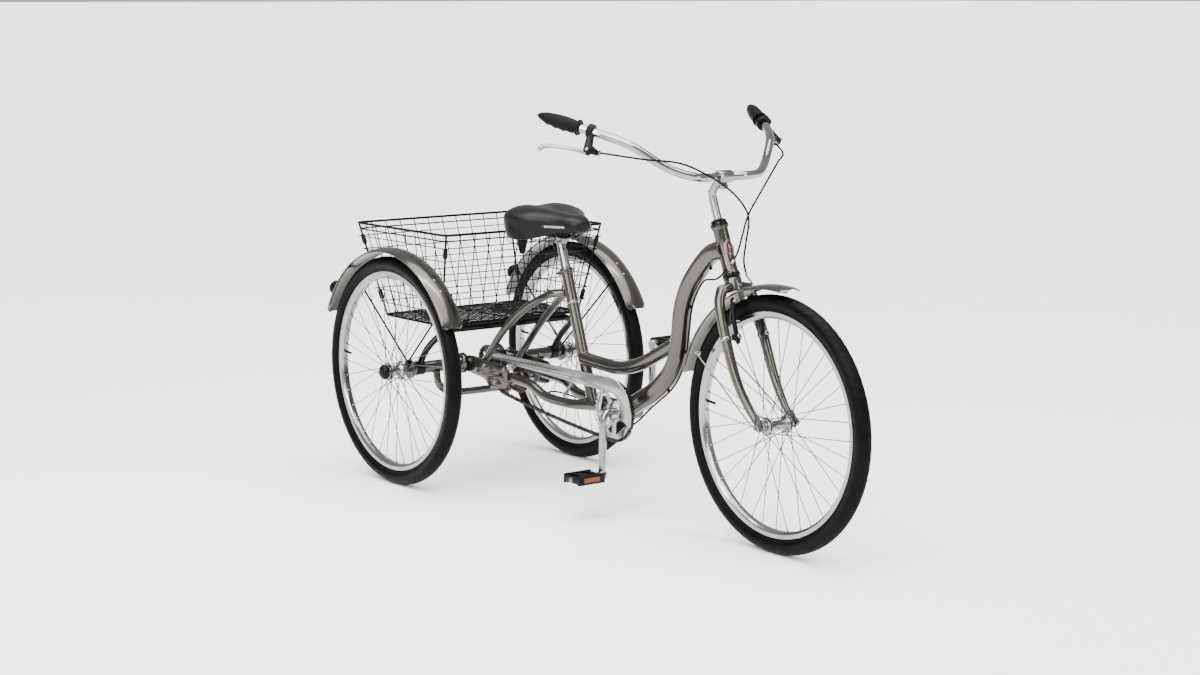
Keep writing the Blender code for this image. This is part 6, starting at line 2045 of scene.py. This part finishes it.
@dataclass
class Cockpit:
    """The quill stem, swept handlebar, grips, brake levers and their brackets."""

    bar_radius: float = 0.0111
    clamp_reach: float = 0.033

    def __post_init__(self) -> None:
        """Work out where the bar and the levers are."""
        self.half = L.bar_half()
        self.bar_run = (self.half[-2] - smooth(self.half[:-1], 2)[-2]).normalized()
        self.lever_clamp = self.half[-2] - self.clamp_reach * self.bar_run
        self.pivot = self.lever_clamp + Vector((0.024, 0.03, -0.048))
        self.tip = self.half[-2] + Vector((-0.056, 0.082, -0.051))

    def nose(self, sign: int) -> Vector:
        """Return where the cable leaves the lever's bracket on the side that the sign asks for."""
        return mirrored(self.lever_clamp, sign) + Vector((0.038, sign * 0.008, -0.052))

    def build(self) -> None:
        """Make every piece of the cockpit."""
        self.stem()
        clamp = self.half[0]
        left = smooth([clamp + 0.026 * ACROSS, *self.half[1:-1]], 8) + [self.half[-1]]
        bar = Shape().bar([mirrored(point) for point in left][::-1] + left, self.bar_radius, 28)
        for sign in (-1, 1):
            bar.turned([(0.0112, 0.0), (0.0119, 0.0008), (0.0119, 0.012), (0.0112, 0.0135)],
                       sideways(clamp + sign * 0.0235 * ACROSS, sign), 36)
        put(bar, "bar_tube", CHROME, "steering", ["handlebar"])
        for side, sign in SIDES.items():
            self.grip(side, sign)
            self.bracket(side, sign)
            self.blade(side, sign)

    def stem(self) -> None:
        """Make the quill stem with its forged neck, its clamp, its pinch bolt and its top bolt."""
        clamp = self.half[0]
        quill = [L.on_steering(0.4405), L.on_steering(0.52), L.on_steering(0.592),
                 L.on_steering(0.614, 0.004),
                 L.on_steering(0.628, 0.022), L.on_steering(0.637, 0.044), clamp]
        path = smooth(quill, 7)
        scales = [1.0 + 0.1 * max(0.0, (index / (len(path) - 1) - 0.5) * 2) for index in range(len(path))]
        shape = Shape().bar(path, 0.011, 30, scales=scales)
        shape.turned([(0.0117, -0.0225), (0.016, -0.0225), (0.0168, -0.021), (0.017, 0.0), (0.0168, 0.021),
                      (0.016, 0.0225), (0.0117, 0.0225)], sideways(clamp), 44, ring=True)
        back = L.on_steering(0.618, 0.052)
        for sign in (-1, 1):
            shape.block((0.013, 0.005, 0.016), frame_to(back + sign * 0.0046 * ACROSS, L.steer_up), 0.0014)
        put(shape, "stem_forging", SATIN, "steering", ["stem"], 45)
        bolts = Shape()
        bolts.nut(sideways(back + 0.007 * ACROSS), 0.0056, 0.0046)
        bolts.turned([(0.0062, 0.0), (0.0062, 0.006), (0.0052, 0.0068), (0.0032, 0.0068), (0.003, 0.003),
                      (0.0003, 0.003)],
                     sideways(back - 0.007 * ACROSS, -1), 28)
        top = L.on_steering(0.6185, -0.003)
        bolts.turned([(0.0066, 0.0), (0.0066, 0.0062), (0.0058, 0.0072), (0.0034, 0.0072), (0.0032, 0.0032),
                      (0.0003, 0.003)],
                     frame_to(top, L.steer_up), 28)
        put(bolts, "stem_bolts", CHROME, "steering")

    def grip(self, side: str, sign: int) -> None:
        """Make a grip that tapers to its end, with finger bumps below and fine ribs above.

        Args:
            side: right or left.
            sign: -1 for right, 1 for left.
        """
        inner, along = self.half[-2], (self.half[-1] - self.half[-2]).normalized()
        place = frame_to(mirrored(inner, sign), mirrored(along, sign), UP)
        outline = smooth([Vector(pair + (0.0,)) for pair in (
            (0.0154, 0.0085), (0.0168, 0.02), (0.0182, 0.04), (0.0176, 0.06), (0.016, 0.08), (0.0132, 0.098),
            (0.0088, 0.112), (0.004, 0.1205))], 7)
        profile = [(0.0114, 0.0), (0.0198, 0.0), (0.0206, 0.001), (0.0206, 0.0048), (0.0196, 0.0062)]
        profile += [(point.x, point.y) for point in outline] + [(0.0004, 0.122)]

        def carve(index: int, angle: float) -> float:
            height = profile[index][1]
            if not 0.008 < height < 0.112:
                return 0.0
            under = max(0.0, -math.sin(angle)) ** 2
            fade = min(1.0, (0.112 - height) / 0.02)
            fingers = -0.0021 * under * fade * (0.5 + 0.5 * math.cos(2 * math.pi * (height - 0.02) / 0.0235))
            ribs = 0.0005 if under < 0.3 and (math.degrees(angle) % 12) < 5 and height < 0.104 else 0.0
            return fingers + ribs

        put(Shape().turned(profile, place, 120, carve=carve), f"grip_rubber_{side}", GRIP_RUBBER, "steering",
            [f"grip_{side}"], 50)

    def bracket(self, side: str, sign: int) -> None:
        """Make a lever's bracket: clamp band, body, cable barrel, adjuster and pivot.

        Args:
            side: right or left.
            sign: -1 for right, 1 for left.
        """
        clamp, along, pivot = (mirrored(value, sign) for value in (self.lever_clamp, self.bar_run,
                                                                   self.pivot))
        shape = Shape().turned([(0.0114, -0.007), (0.018, -0.007), (0.019, -0.0058), (0.019, 0.0058),
                                (0.018, 0.007), (0.0114, 0.007)], frame_to(clamp, along, UP), 40, ring=True)
        down = (pivot - clamp).normalized()
        nose = self.nose(sign)
        side_run = along.cross(down).normalized()
        body = [clamp + 0.012 * down, clamp + 0.026 * down, pivot - 0.018 * down, pivot - 0.002 * down]
        shape.bar(smooth(body, 4), 0.0098, 22, domed=True, flat=1.1,
                  scales=[0.82 + 0.028 * i for i in range(13)])
        shape.bar([pivot - 0.012 * down, (pivot - 0.008 * down).lerp(nose, 0.5), nose.lerp(pivot, 0.1)],
                  0.0096, 20,
                  scales=(1.15, 1.0, 0.74), domed=True)
        shape.bar([clamp - 0.0172 * side_run - 0.01 * down, clamp - 0.0172 * side_run + 0.008 * down], 0.0042,
                  14, domed=True)
        put(shape, f"lever_body_{side}", BLACK_PLASTIC, "steering",
            [f"lever_bracket_{side}"], 45)
        small = Shape()
        out = (nose - pivot).normalized()
        small.turned([(0.003, 0.0), (0.0058, 0.0), (0.0062, 0.0012), (0.0062, 0.006), (0.0052, 0.0072),
                      (0.004, 0.01),
                      (0.003, 0.0104)], frame_to(nose - 0.004 * out, out, UP), 18, ring=True)
        small.nut(frame_to(pivot - 0.0104 * side_run, -side_run, UP), 0.0048, 0.0028)
        small.nut(frame_to(pivot + 0.0104 * side_run, side_run, UP), 0.0048, 0.0028)
        put(small, f"lever_adjuster_{side}", STEEL, "steering")

    def blade(self, side: str, sign: int) -> None:
        """Make a lever's curved blade with its ball end.

        Args:
            side: right or left.
            sign: -1 for right, 1 for left.
        """
        clamp, pivot, tip, grip = (mirrored(value, sign)
                                   for value in (self.lever_clamp, self.pivot, self.tip, self.half[-2]))
        down = (pivot - clamp).normalized()
        run, squeeze = tip - pivot, (grip - pivot).normalized()
        bow = 0.01 * squeeze
        start = pivot + 0.004 * run.normalized() + 0.003 * down
        path = smooth([start, pivot + 0.14 * run + 0.25 * bow + 0.002 * down, pivot + 0.35 * run + 0.6 * bow,
                       pivot + 0.7 * run + bow, pivot + 0.9 * run + 0.9 * bow, tip + 0.1 * bow], 8)
        count = len(path) - 1
        scales = [1.12 - 0.3 * math.sin(math.pi * min(index / count * 1.3,
                                                      1.0)) for index in range(count + 1)]
        shape = Shape().bar(path, 0.0054, 22, scales=scales, domed=True, flat=1.25)
        shape.turned([(0.0062 * math.sin(math.radians(a)) + 0.0003,
                       -0.0062 * math.cos(math.radians(a))) for a in range(0, 181, 15)],
                     frame_to(tip, run), 24)
        put(shape, f"lever_blade_{side}", SATIN, f"brake_lever_{side}",
            [f"brake_lever_{side}"], 60)


@dataclass(frozen=True)
class FrontBrake:
    """The front brake's two arms with their pads, springs and bolts."""

    arm_radius: float = 0.0062
    pivot_rise: float = 0.236
    top_rise: float = 0.331
    pad_ahead: float = 0.018

    def build(self) -> None:
        """Make both arms, the bosses they turn on and the bands round the blades."""
        for side, sign in SIDES.items():
            self.arm(side, sign)
        boss = Shape()
        for sign in (-1, 1):
            inner = L.on_steering(self.pivot_rise, -0.002, sign * 0.061)
            boss.bar([inner, L.on_steering(self.pivot_rise, 0.01, sign * 0.047)], 0.0062, 18, domed=True)
        put(boss, "brake_bosses", PAINT, "steering")
        bands = Shape()
        for sign in (-1, 1):
            bands.turned([(0.013, -0.0045), (0.0154, -0.0045), (0.0158, -0.0035), (0.0158, 0.0035),
                          (0.0154, 0.0045),
                          (0.013, 0.0045)], frame_to(L.on_steering(0.238, -0.006, sign * 0.063), L.steer_up),
                          40, ring=True)
        put(bands, "brake_boss_bands", SATIN, "steering")

    def arm(self, side: str, sign: int) -> None:
        """Make one arm with its pad, its fittings and its spring.

        Args:
            side: right or left.
            sign: -1 for right, 1 for left.
        """
        pivot = L.on_steering(self.pivot_rise, self.pad_ahead, sign * 0.046)
        top = L.on_steering(self.top_rise, 0.026, sign * 0.038)
        middle = pivot.lerp(top, 0.5) + sign * 0.004 * ACROSS
        body = f"brake_arm_{side}"
        arm = Shape().bar(smooth([pivot - 0.012 * L.steer_up, pivot, middle, top], 6), self.arm_radius, 20,
                          domed=True)
        arm.turned([(0.0004, -0.0075), (0.009, -0.0075), (0.0098, -0.0062), (0.0098, 0.0062), (0.009, 0.0075),
                    (0.0004, 0.0075)], frame_to(pivot, L.steer_forward, ACROSS), 32)
        put(arm, f"{body}_casting", BLACK_PLASTIC, body, [body], 50)
        height = math.sqrt((L.rim_radius - 0.0065) ** 2 - (L.fork_rake - self.pad_ahead) ** 2)
        pad = L.on_steering(height, self.pad_ahead, sign * 0.0205)
        shoe = Shape().block((0.044, 0.0085, 0.01), frame_to(pad, L.steer_up), 0.0022)
        for share in (-0.012, 0.0, 0.012):
            shoe.block((0.0016, 0.001, 0.0104),
                       frame_to(pad + share * L.steer_forward - sign * 0.004 * ACROSS, L.steer_up), 0.0003)
        put(shoe, f"{body}_pad", GRIP_RUBBER, body)
        fittings = Shape().bar([pad + sign * 0.003 * ACROSS, L.on_steering(height, 0.02, sign * 0.052)],
                               0.0032, 16)
        fittings.nut(sideways(L.on_steering(height, 0.02, sign * 0.0445), sign), 0.0064, 0.005)
        fittings.turned([(0.006, 0.0), (0.006, 0.004), (0.005, 0.005), (0.0028, 0.005), (0.0026, 0.0024),
                         (0.0003, 0.0022)],
                        frame_to(pivot + 0.0076 * L.steer_forward, L.steer_forward, ACROSS), 24)
        fittings.nut(frame_to(top - 0.006 * L.steer_up + 0.0056 * L.steer_forward, L.steer_forward, ACROSS),
                     0.005, 0.004)
        spring = [pivot - 0.005 * L.steer_forward + sign * 0.012 * ACROSS,
                  middle + sign * 0.0085 * ACROSS - 0.004 * L.steer_forward,
                  top + sign * 0.0075 * ACROSS - 0.016 * L.steer_up]
        fittings.bar(smooth(spring, 6), 0.0009, 8)
        put(fittings, f"{body}_fittings", CHROME, body)


@dataclass(frozen=True)
class Cables:
    """The brake cables with their ferrules: one to the front brake, one looped to the frame and back to the axle."""

    cockpit: Cockpit
    tubes: FrameTubes
    radius: float = 0.0026

    def build(self) -> None:
        """Make every cable."""
        start = self.cockpit.nose(SIDES["right"]) + Vector((0.01, 0.006, 0.0))
        end = L.on_steering(0.385, 0.031, 0.022)
        front = [start - Vector((0.01, 0.004, 0.0)), start] + [L.on_steering(*place) for place in (
            (0.701, 0.05, -0.235), (0.679, 0.074, -0.145), (0.6365, 0.106, -0.095), (0.6, 0.11, -0.045),
            (0.557, 0.108, -0.005), (0.517, 0.097, 0.015), (0.47, 0.058, 0.024),
            (0.425, 0.034, 0.022))] + [end]
        self.lay("front_cable", front, "steering", ["front_brake_cable"])
        wire = Shape().bar(smooth([end, L.on_steering(0.362, 0.033, 0.034),
                                   L.on_steering(0.346, 0.033, 0.026),
                                   L.on_steering(0.338, 0.032, -0.034)], 8), 0.0008, 8)
        wire.bar(smooth([end, L.on_steering(0.364, 0.033, 0.033), L.on_steering(0.348, 0.033, 0.028)], 6),
                 0.0024, 14)
        put(wire, "front_brake_wire", CHROME, "steering")

        start = self.cockpit.nose(SIDES["left"]) + Vector((0.01, -0.006, 0.0))
        anchor = L.on_steering(L.head_bottom + 0.02, 0.035, -0.02)
        loop = [start - Vector((0.01, -0.004, 0.0)), start] + [L.on_steering(*place) for place in (
            (0.7, 0.036, 0.24), (0.678, 0.037, 0.215), (0.64, 0.043, 0.17), (0.598, 0.043, 0.125),
            (0.544, 0.04, 0.07), (0.49, 0.04, 0.032), (0.45, 0.036, 0.008))] + [anchor]
        self.lay("rear_cable_upper", loop, "steering", ["rear_cable_loop"])
        self.lay("rear_cable_lower", self.under_frame(anchor), "frame", ["rear_brake_cable"])

    def under_frame(self, anchor: Vector) -> list[Vector]:
        """Return the points of the cable's run under the main tube and back to the brake's arm.

        Args:
            anchor: where the loop from the lever ends.

        Returns:
            The run's points.
        """
        path = self.tubes.main_line[::3]
        hold = self.tubes.main_radius + self.radius + 0.005
        below = []
        for index in range(3, len(path) - 3, 3):
            run = (path[index + 1] - path[index - 1]).normalized()
            below.append(path[index] + hold * run.cross(ACROSS).normalized())
        if below[0].z > path[3].z:
            below = [2 * path[3 + 3 * index] - point for index, point in enumerate(below)]
        below.reverse()
        arm_end = L.rear_axle + Vector((0.105, 0.0465, 0.0))
        back = [Vector((0.02, 0.006, -0.038)), Vector((-0.05, 0.044, -0.026))]
        return [anchor + Vector((-0.0035, -0.003, -0.006)),
                L.on_steering(L.head_bottom - 0.004, -0.02, -0.031), *below,
                *[L.bracket + point for point in back],
                Vector((L.bracket.x - 0.24, 0.066, L.bracket.z - 0.024)),
                Vector((L.mid_hub.x + 0.1, 0.064, L.mid_hub.z - 0.03)),
                Vector((L.mid_hub.x + 0.02, 0.058, L.mid_hub.z - 0.042)),
                arm_end + Vector((0.012, 0.0, -0.014))]

    def lay(self, name: str, points: list[Vector], body: str, nodes: list[str]) -> None:
        """Make a cable along the points, with a ferrule at each end.

        Args:
            name: the cable's name.
            points: the route.
            body: the body that it rides on.
            nodes: the CAD nodes that it stands for.
        """
        path = smooth(points, 8)
        put(Shape().bar(path, self.radius, 14), name, CABLE, body, nodes)
        ferrules = Shape()
        for first, second in ((path[0], path[2]), (path[-1], path[-3])):
            run = (second - first).normalized()
            ferrules.turned([(0.0009, -0.0008), (0.0028, -0.0008), (0.0033, 0.0004), (0.0033, 0.01),
                             (0.0026, 0.0108)],
                            frame_to(first, run, ACROSS if abs(run.y) < 0.9 else UP), 18)
        put(ferrules, f"{name}_ferrules", CHROME, body)


# ---------------------------------------------------------------- seat
@dataclass
class Seat:
    """The saddle with its padded cover, its base, rails, clamp and bumpers, and the seat post."""

    stations: tuple[tuple[float, ...], ...] = (
        (-0.1415, 0.03, 0.081, 0.046, 0.008), (-0.14, 0.06, 0.09, 0.043, 0.018),
        (-0.13, 0.096, 0.0985, 0.04, 0.034), (-0.112, 0.116, 0.1035, 0.039, 0.043),
        (-0.09, 0.122, 0.105, 0.039, 0.046), (-0.062, 0.12, 0.1035, 0.038, 0.046),
        (-0.03, 0.108, 0.1, 0.038, 0.041), (-0.003, 0.088, 0.096, 0.037, 0.032),
        (0.024, 0.067, 0.092, 0.037, 0.022), (0.05, 0.052, 0.088, 0.036, 0.014),
        (0.078, 0.041, 0.083, 0.036, 0.01),
        (0.098, 0.031, 0.075, 0.037, 0.002), (0.109, 0.021, 0.067, 0.04, 0.0),
        (0.112, 0.01, 0.06, 0.043, 0.0),
    )
    post_radius: float = 0.0135

    def __post_init__(self) -> None:
        """Find the top of the seat post."""
        self.top = L.on_seat_tube(L.post_top)

    def build(self) -> None:
        """Make every piece of the seat."""
        self.cover()
        self.base()
        self.frame()
        self.post()

    def section(self, along: float, half: float, high: float, low: float, skirt: float) -> list[Vector]:
        """Return one cross-section of the cover: dished on top, full at the flanks, hollow between its skirts.

        Args:
            along: how far ahead of the seat post it is.
            half: its half width.
            high: its top's height over the seat post.
            low: its underside's height along the middle.
            skirt: how far its flanks hang below that.

        Returns:
            The section's points.
        """
        points = []
        dish = 0.0085 * min(1.0, half / 0.1) * min(1.0, max(0.0, (0.1 - along) / 0.05))
        level = low + 0.42 * (high - low)
        for angle in turns(48, math.pi / 48):
            across, rise = math.cos(angle), math.sin(angle)
            if rise > 0:
                width = half * math.copysign(abs(across) ** 0.86, across)
                lobe = math.exp(-((width / (0.22 * half + 0.008)) ** 2))
                height = level + (high - level) * rise**0.9 - dish * lobe
            else:
                width = half * math.copysign(abs(across) ** 0.62, across)
                hang = max(0.0, 1 - abs(abs(width / half) - 0.87) / 0.13)
                height = level - (level - low) * abs(rise) ** 0.7 - skirt * hang**0.8
            points.append(self.top + Vector((along, width, height)))
        return points

    def cover(self) -> None:
        """Make the padded cover with its rear notch, its piped seam and its flank stripe."""
        dense = smooth([Vector((a, w, h)) for a, w, h, _, _ in self.stations], 4)
        lows = smooth([Vector((a, low, skirt)) for a, _, _, low, skirt in self.stations], 4)
        shape = Shape().loft([self.section(p.x, p.y, p.z, q.y, q.z) for p, q in zip(dense, lows)])
        flank = self.top + Vector((0.045, 0.0, 0.05))
        finish = SaddleCover("saddle_cover_skin", (0.0022, 0.0022, 0.0027), (0.0045, 0.0045, 0.0052),
                             (0.26, 0.38),
                             specular=0.13, mottle=22.0, grain=Grain.PEBBLE, grain_scale=620.0,
                             grain_height=0.00016,
                             stripe_low=(flank.x - 0.03, -0.12, flank.z - 0.0028),
                             stripe_high=(flank.x + 0.03, -0.03, flank.z + 0.0028))
        cover = put(shape, "saddle_cover", finish, "seat", ["saddle"], 70)
        smoothing = cover.modifiers.new("smoothing", "SUBSURF")
        smoothing.levels = smoothing.render_levels = 1
        bpy.context.view_layer.objects.active = cover
        with bpy.context.temp_override(object=cover):
            bpy.ops.object.modifier_apply(modifier=smoothing.name)
        cover.data.shade_smooth()
        seam = [self.edge_point(p, q) for p, q in zip(dense[2:-2], lows[2:-2])]
        piping = Shape()
        for sign in (-1, 1):
            piping.bar([mirrored(point, sign) for point in seam], 0.0013, 10, domed=True)
        put(piping, "saddle_piping", BLACK_PLASTIC, "seat")

    def edge_point(self, size: Vector, under: Vector) -> Vector:
        """Return the lowest point of the left skirt of a cross-section.

        Args:
            size: how far ahead the section is, its half width and its top's height.
            under: its underside's height in Y and how far its skirts hang in Z.
        """
        return self.top + Vector((size.x, 0.87 * size.y, under.y + 0.006 - under.z * 0.97))

    def base(self) -> None:
        """Make the moulded base pan under the cover."""
        rings = []
        for along, half, _, low, _ in self.stations[1:-1]:
            ring = []
            for angle in turns(32):
                width = 0.7 * half * math.copysign(abs(math.cos(angle)) ** 0.8, math.cos(angle))
                ring.append(self.top + Vector((along * 0.975, width, low + 0.0035 + 0.007 * math.sin(angle))))
            rings.append(ring)
        put(Shape().loft(rings), "saddle_base", BLACK_PLASTIC, "seat", sharp=60)

    def frame(self) -> None:
        """Make the rails, the clamp with its bolts and the two rubber bumpers."""
        shape = Shape()
        shape.bar(smooth([self.top + Vector((-0.1, y, 0.018 + lift)) for y, lift in (
            (-0.078, 0.012), (-0.066, 0.002), (0.0, 0.0), (0.066, 0.002), (0.078, 0.012))], 6), 0.0042, 16)
        for sign in SIDES.values():
            rail = [(-0.104, 0.02, 0.02), (-0.06, 0.018, 0.018), (0.0, 0.018, 0.018), (0.052, 0.016, 0.019),
                    (0.076, 0.011, 0.03), (0.09, 0.008, 0.042)]
            shape.bar(smooth([self.top + Vector((x, sign * y, z)) for x, y, z in rail], 6), 0.0036, 16)
        put(shape, "saddle_rails", BLACK_PAINT, "seat", ["saddle_frame"])
        clamp = Shape()
        clamp.block((0.036, 0.02, 0.026), Matrix.Translation(self.top + Vector((0.0, 0.0, 0.01))), 0.004)
        for sign in (-1, 1):
            seat = self.top + Vector((0.0, sign * 0.0105, 0.0165))
            clamp.turned([(0.0004, 0.0), (0.0155, 0.0), (0.0155, 0.0125), (0.014, 0.014), (0.0004, 0.014)],
                         sideways(seat, sign), 32)
            clamp.nut(sideways(seat + sign * 0.0138 * ACROSS, sign), 0.0072, 0.0056)
        put(clamp, "saddle_clamp", STEEL, "seat")
        bumpers = Shape()
        for sign in (-1, 1):
            profile = [(0.0004, -0.0372), (0.005, -0.0366), (0.0078, -0.034), (0.0105, -0.023),
                       (0.013, -0.011),
                       (0.0168, 0.006), (0.02, 0.018), (0.02, 0.042), (0.0004, 0.043)]
            place = frame_to(self.top + Vector((-0.1, sign * 0.06, 0.0)), UP)
            bumpers.turned(profile, place, 36)
        put(bumpers, "saddle_bumpers", GRIP_RUBBER, "seat", sharp=60)

    def post(self) -> None:
        """Make the seat post with its swaged top."""
        place = frame_to(L.on_seat_tube(0.0), L.seat_up)
        radius, top, start = self.post_radius, L.post_top, 0.239
        profile = [(0.0004, start), (radius - 0.001, start), (radius, start + 0.001), (radius, top - 0.026),
                   (radius - 0.0012, top - 0.02), (radius - 0.0016, top - 0.015),
                   (radius - 0.0016, top + 0.006),
                   (0.0004, top + 0.007)]
        put(Shape().turned(profile, place, 44), "seat_post_tube", SATIN, "seat", ["seat_post"])


# ---------------------------------------------------------------- studio
def studio() -> None:
    """Make the floor, the lights and the camera."""
    size = 900.0
    mesh = bpy.data.meshes.new("floor")
    form = bmesh.new()
    bmesh.ops.create_grid(form, x_segments=2, y_segments=2, size=size / 2)
    form.to_mesh(mesh)
    form.free()
    floor = bpy.data.objects.new("floor", mesh)
    bpy.context.scene.collection.objects.link(floor)
    Finish("studio_floor", (0.9, 0.9, 0.9), (0.92, 0.92, 0.92), (0.85, 0.95), specular=0.05, mottle=0.5,
           grain_scale=40.0, grain_height=0.00002).dress(floor)
    world = bpy.data.worlds.new("studio")
    world.use_nodes = True
    world.node_tree.nodes["Background"].inputs["Color"].default_value = (1.0, 1.0, 1.0, 1.0)
    world.node_tree.nodes["Background"].inputs["Strength"].default_value = 0.6
    bpy.context.scene.world = world
    suns = (("overhead", (0.15, -0.1, 1.0), 6.4, 70.0), ("key", (0.9, -1.5, 1.3), 3.0, 40.0))
    for name, towards, strength, spread in suns:
        data = bpy.data.lights.new(name, "SUN")
        data.energy = strength
        data.angle = math.radians(spread)
        lamp = bpy.data.objects.new(name, data)
        lamp.rotation_euler = Vector(towards).to_track_quat("Z", "Y").to_euler()
        bpy.context.scene.collection.objects.link(lamp)
    lamps = (
        ("left_strip", (0.6, -4.2, 2.6), (0.4, 3.0), 110.0),
        ("right_strip", (4.8, 1.2, 2.4), (0.4, 3.0), 90.0),
        ("top_strip", (-0.4, -0.6, 3.6), (0.4, 3.6), 90.0),
    )
    for name, where, area, power in lamps:
        data = bpy.data.lights.new(name, "AREA")
        data.shape = "RECTANGLE"
        data.size, data.size_y = area
        data.energy = power
        lamp = bpy.data.objects.new(name, data)
        lamp.location = where
        lamp.rotation_euler = (Vector((0.0, 0.0, 0.5)) - Vector(where)).to_track_quat("-Z", "Y").to_euler()
        bpy.context.scene.collection.objects.link(lamp)
    azimuth, elevation = math.radians(52.5), math.radians(8.74)
    away = Vector((math.sin(azimuth) * math.cos(elevation), -math.cos(azimuth) * math.cos(elevation),
                   math.sin(elevation)))
    data = bpy.data.cameras.new("camera")
    data.lens, data.sensor_width = 66.72, 36.0
    data.clip_end = 1000.0
    camera = bpy.data.objects.new("camera", data)
    camera.location = (4.688, -3.665, 1.386)
    camera.rotation_euler = (-away).to_track_quat("-Z", "Y").to_euler()
    bpy.context.scene.collection.objects.link(camera)
    bpy.context.scene.camera = camera


def main() -> None:
    """Build the tricycle and its studio."""
    logging.basicConfig(level=logging.INFO, format="%(message)s")
    front_wheel().build()
    for side in SIDES:
        rear_wheel(side).build()
    tubes, cockpit = FrameTubes(), Cockpit()
    for assembly in (tubes, AxleCarrier(), Basket(), Fenders(), RearAxle(), Drive(), Fork(), cockpit,
                     FrontBrake(),
                     Cables(cockpit, tubes), Seat()):
        assembly.build()
    studio()


if __name__ == "__main__":
    main()
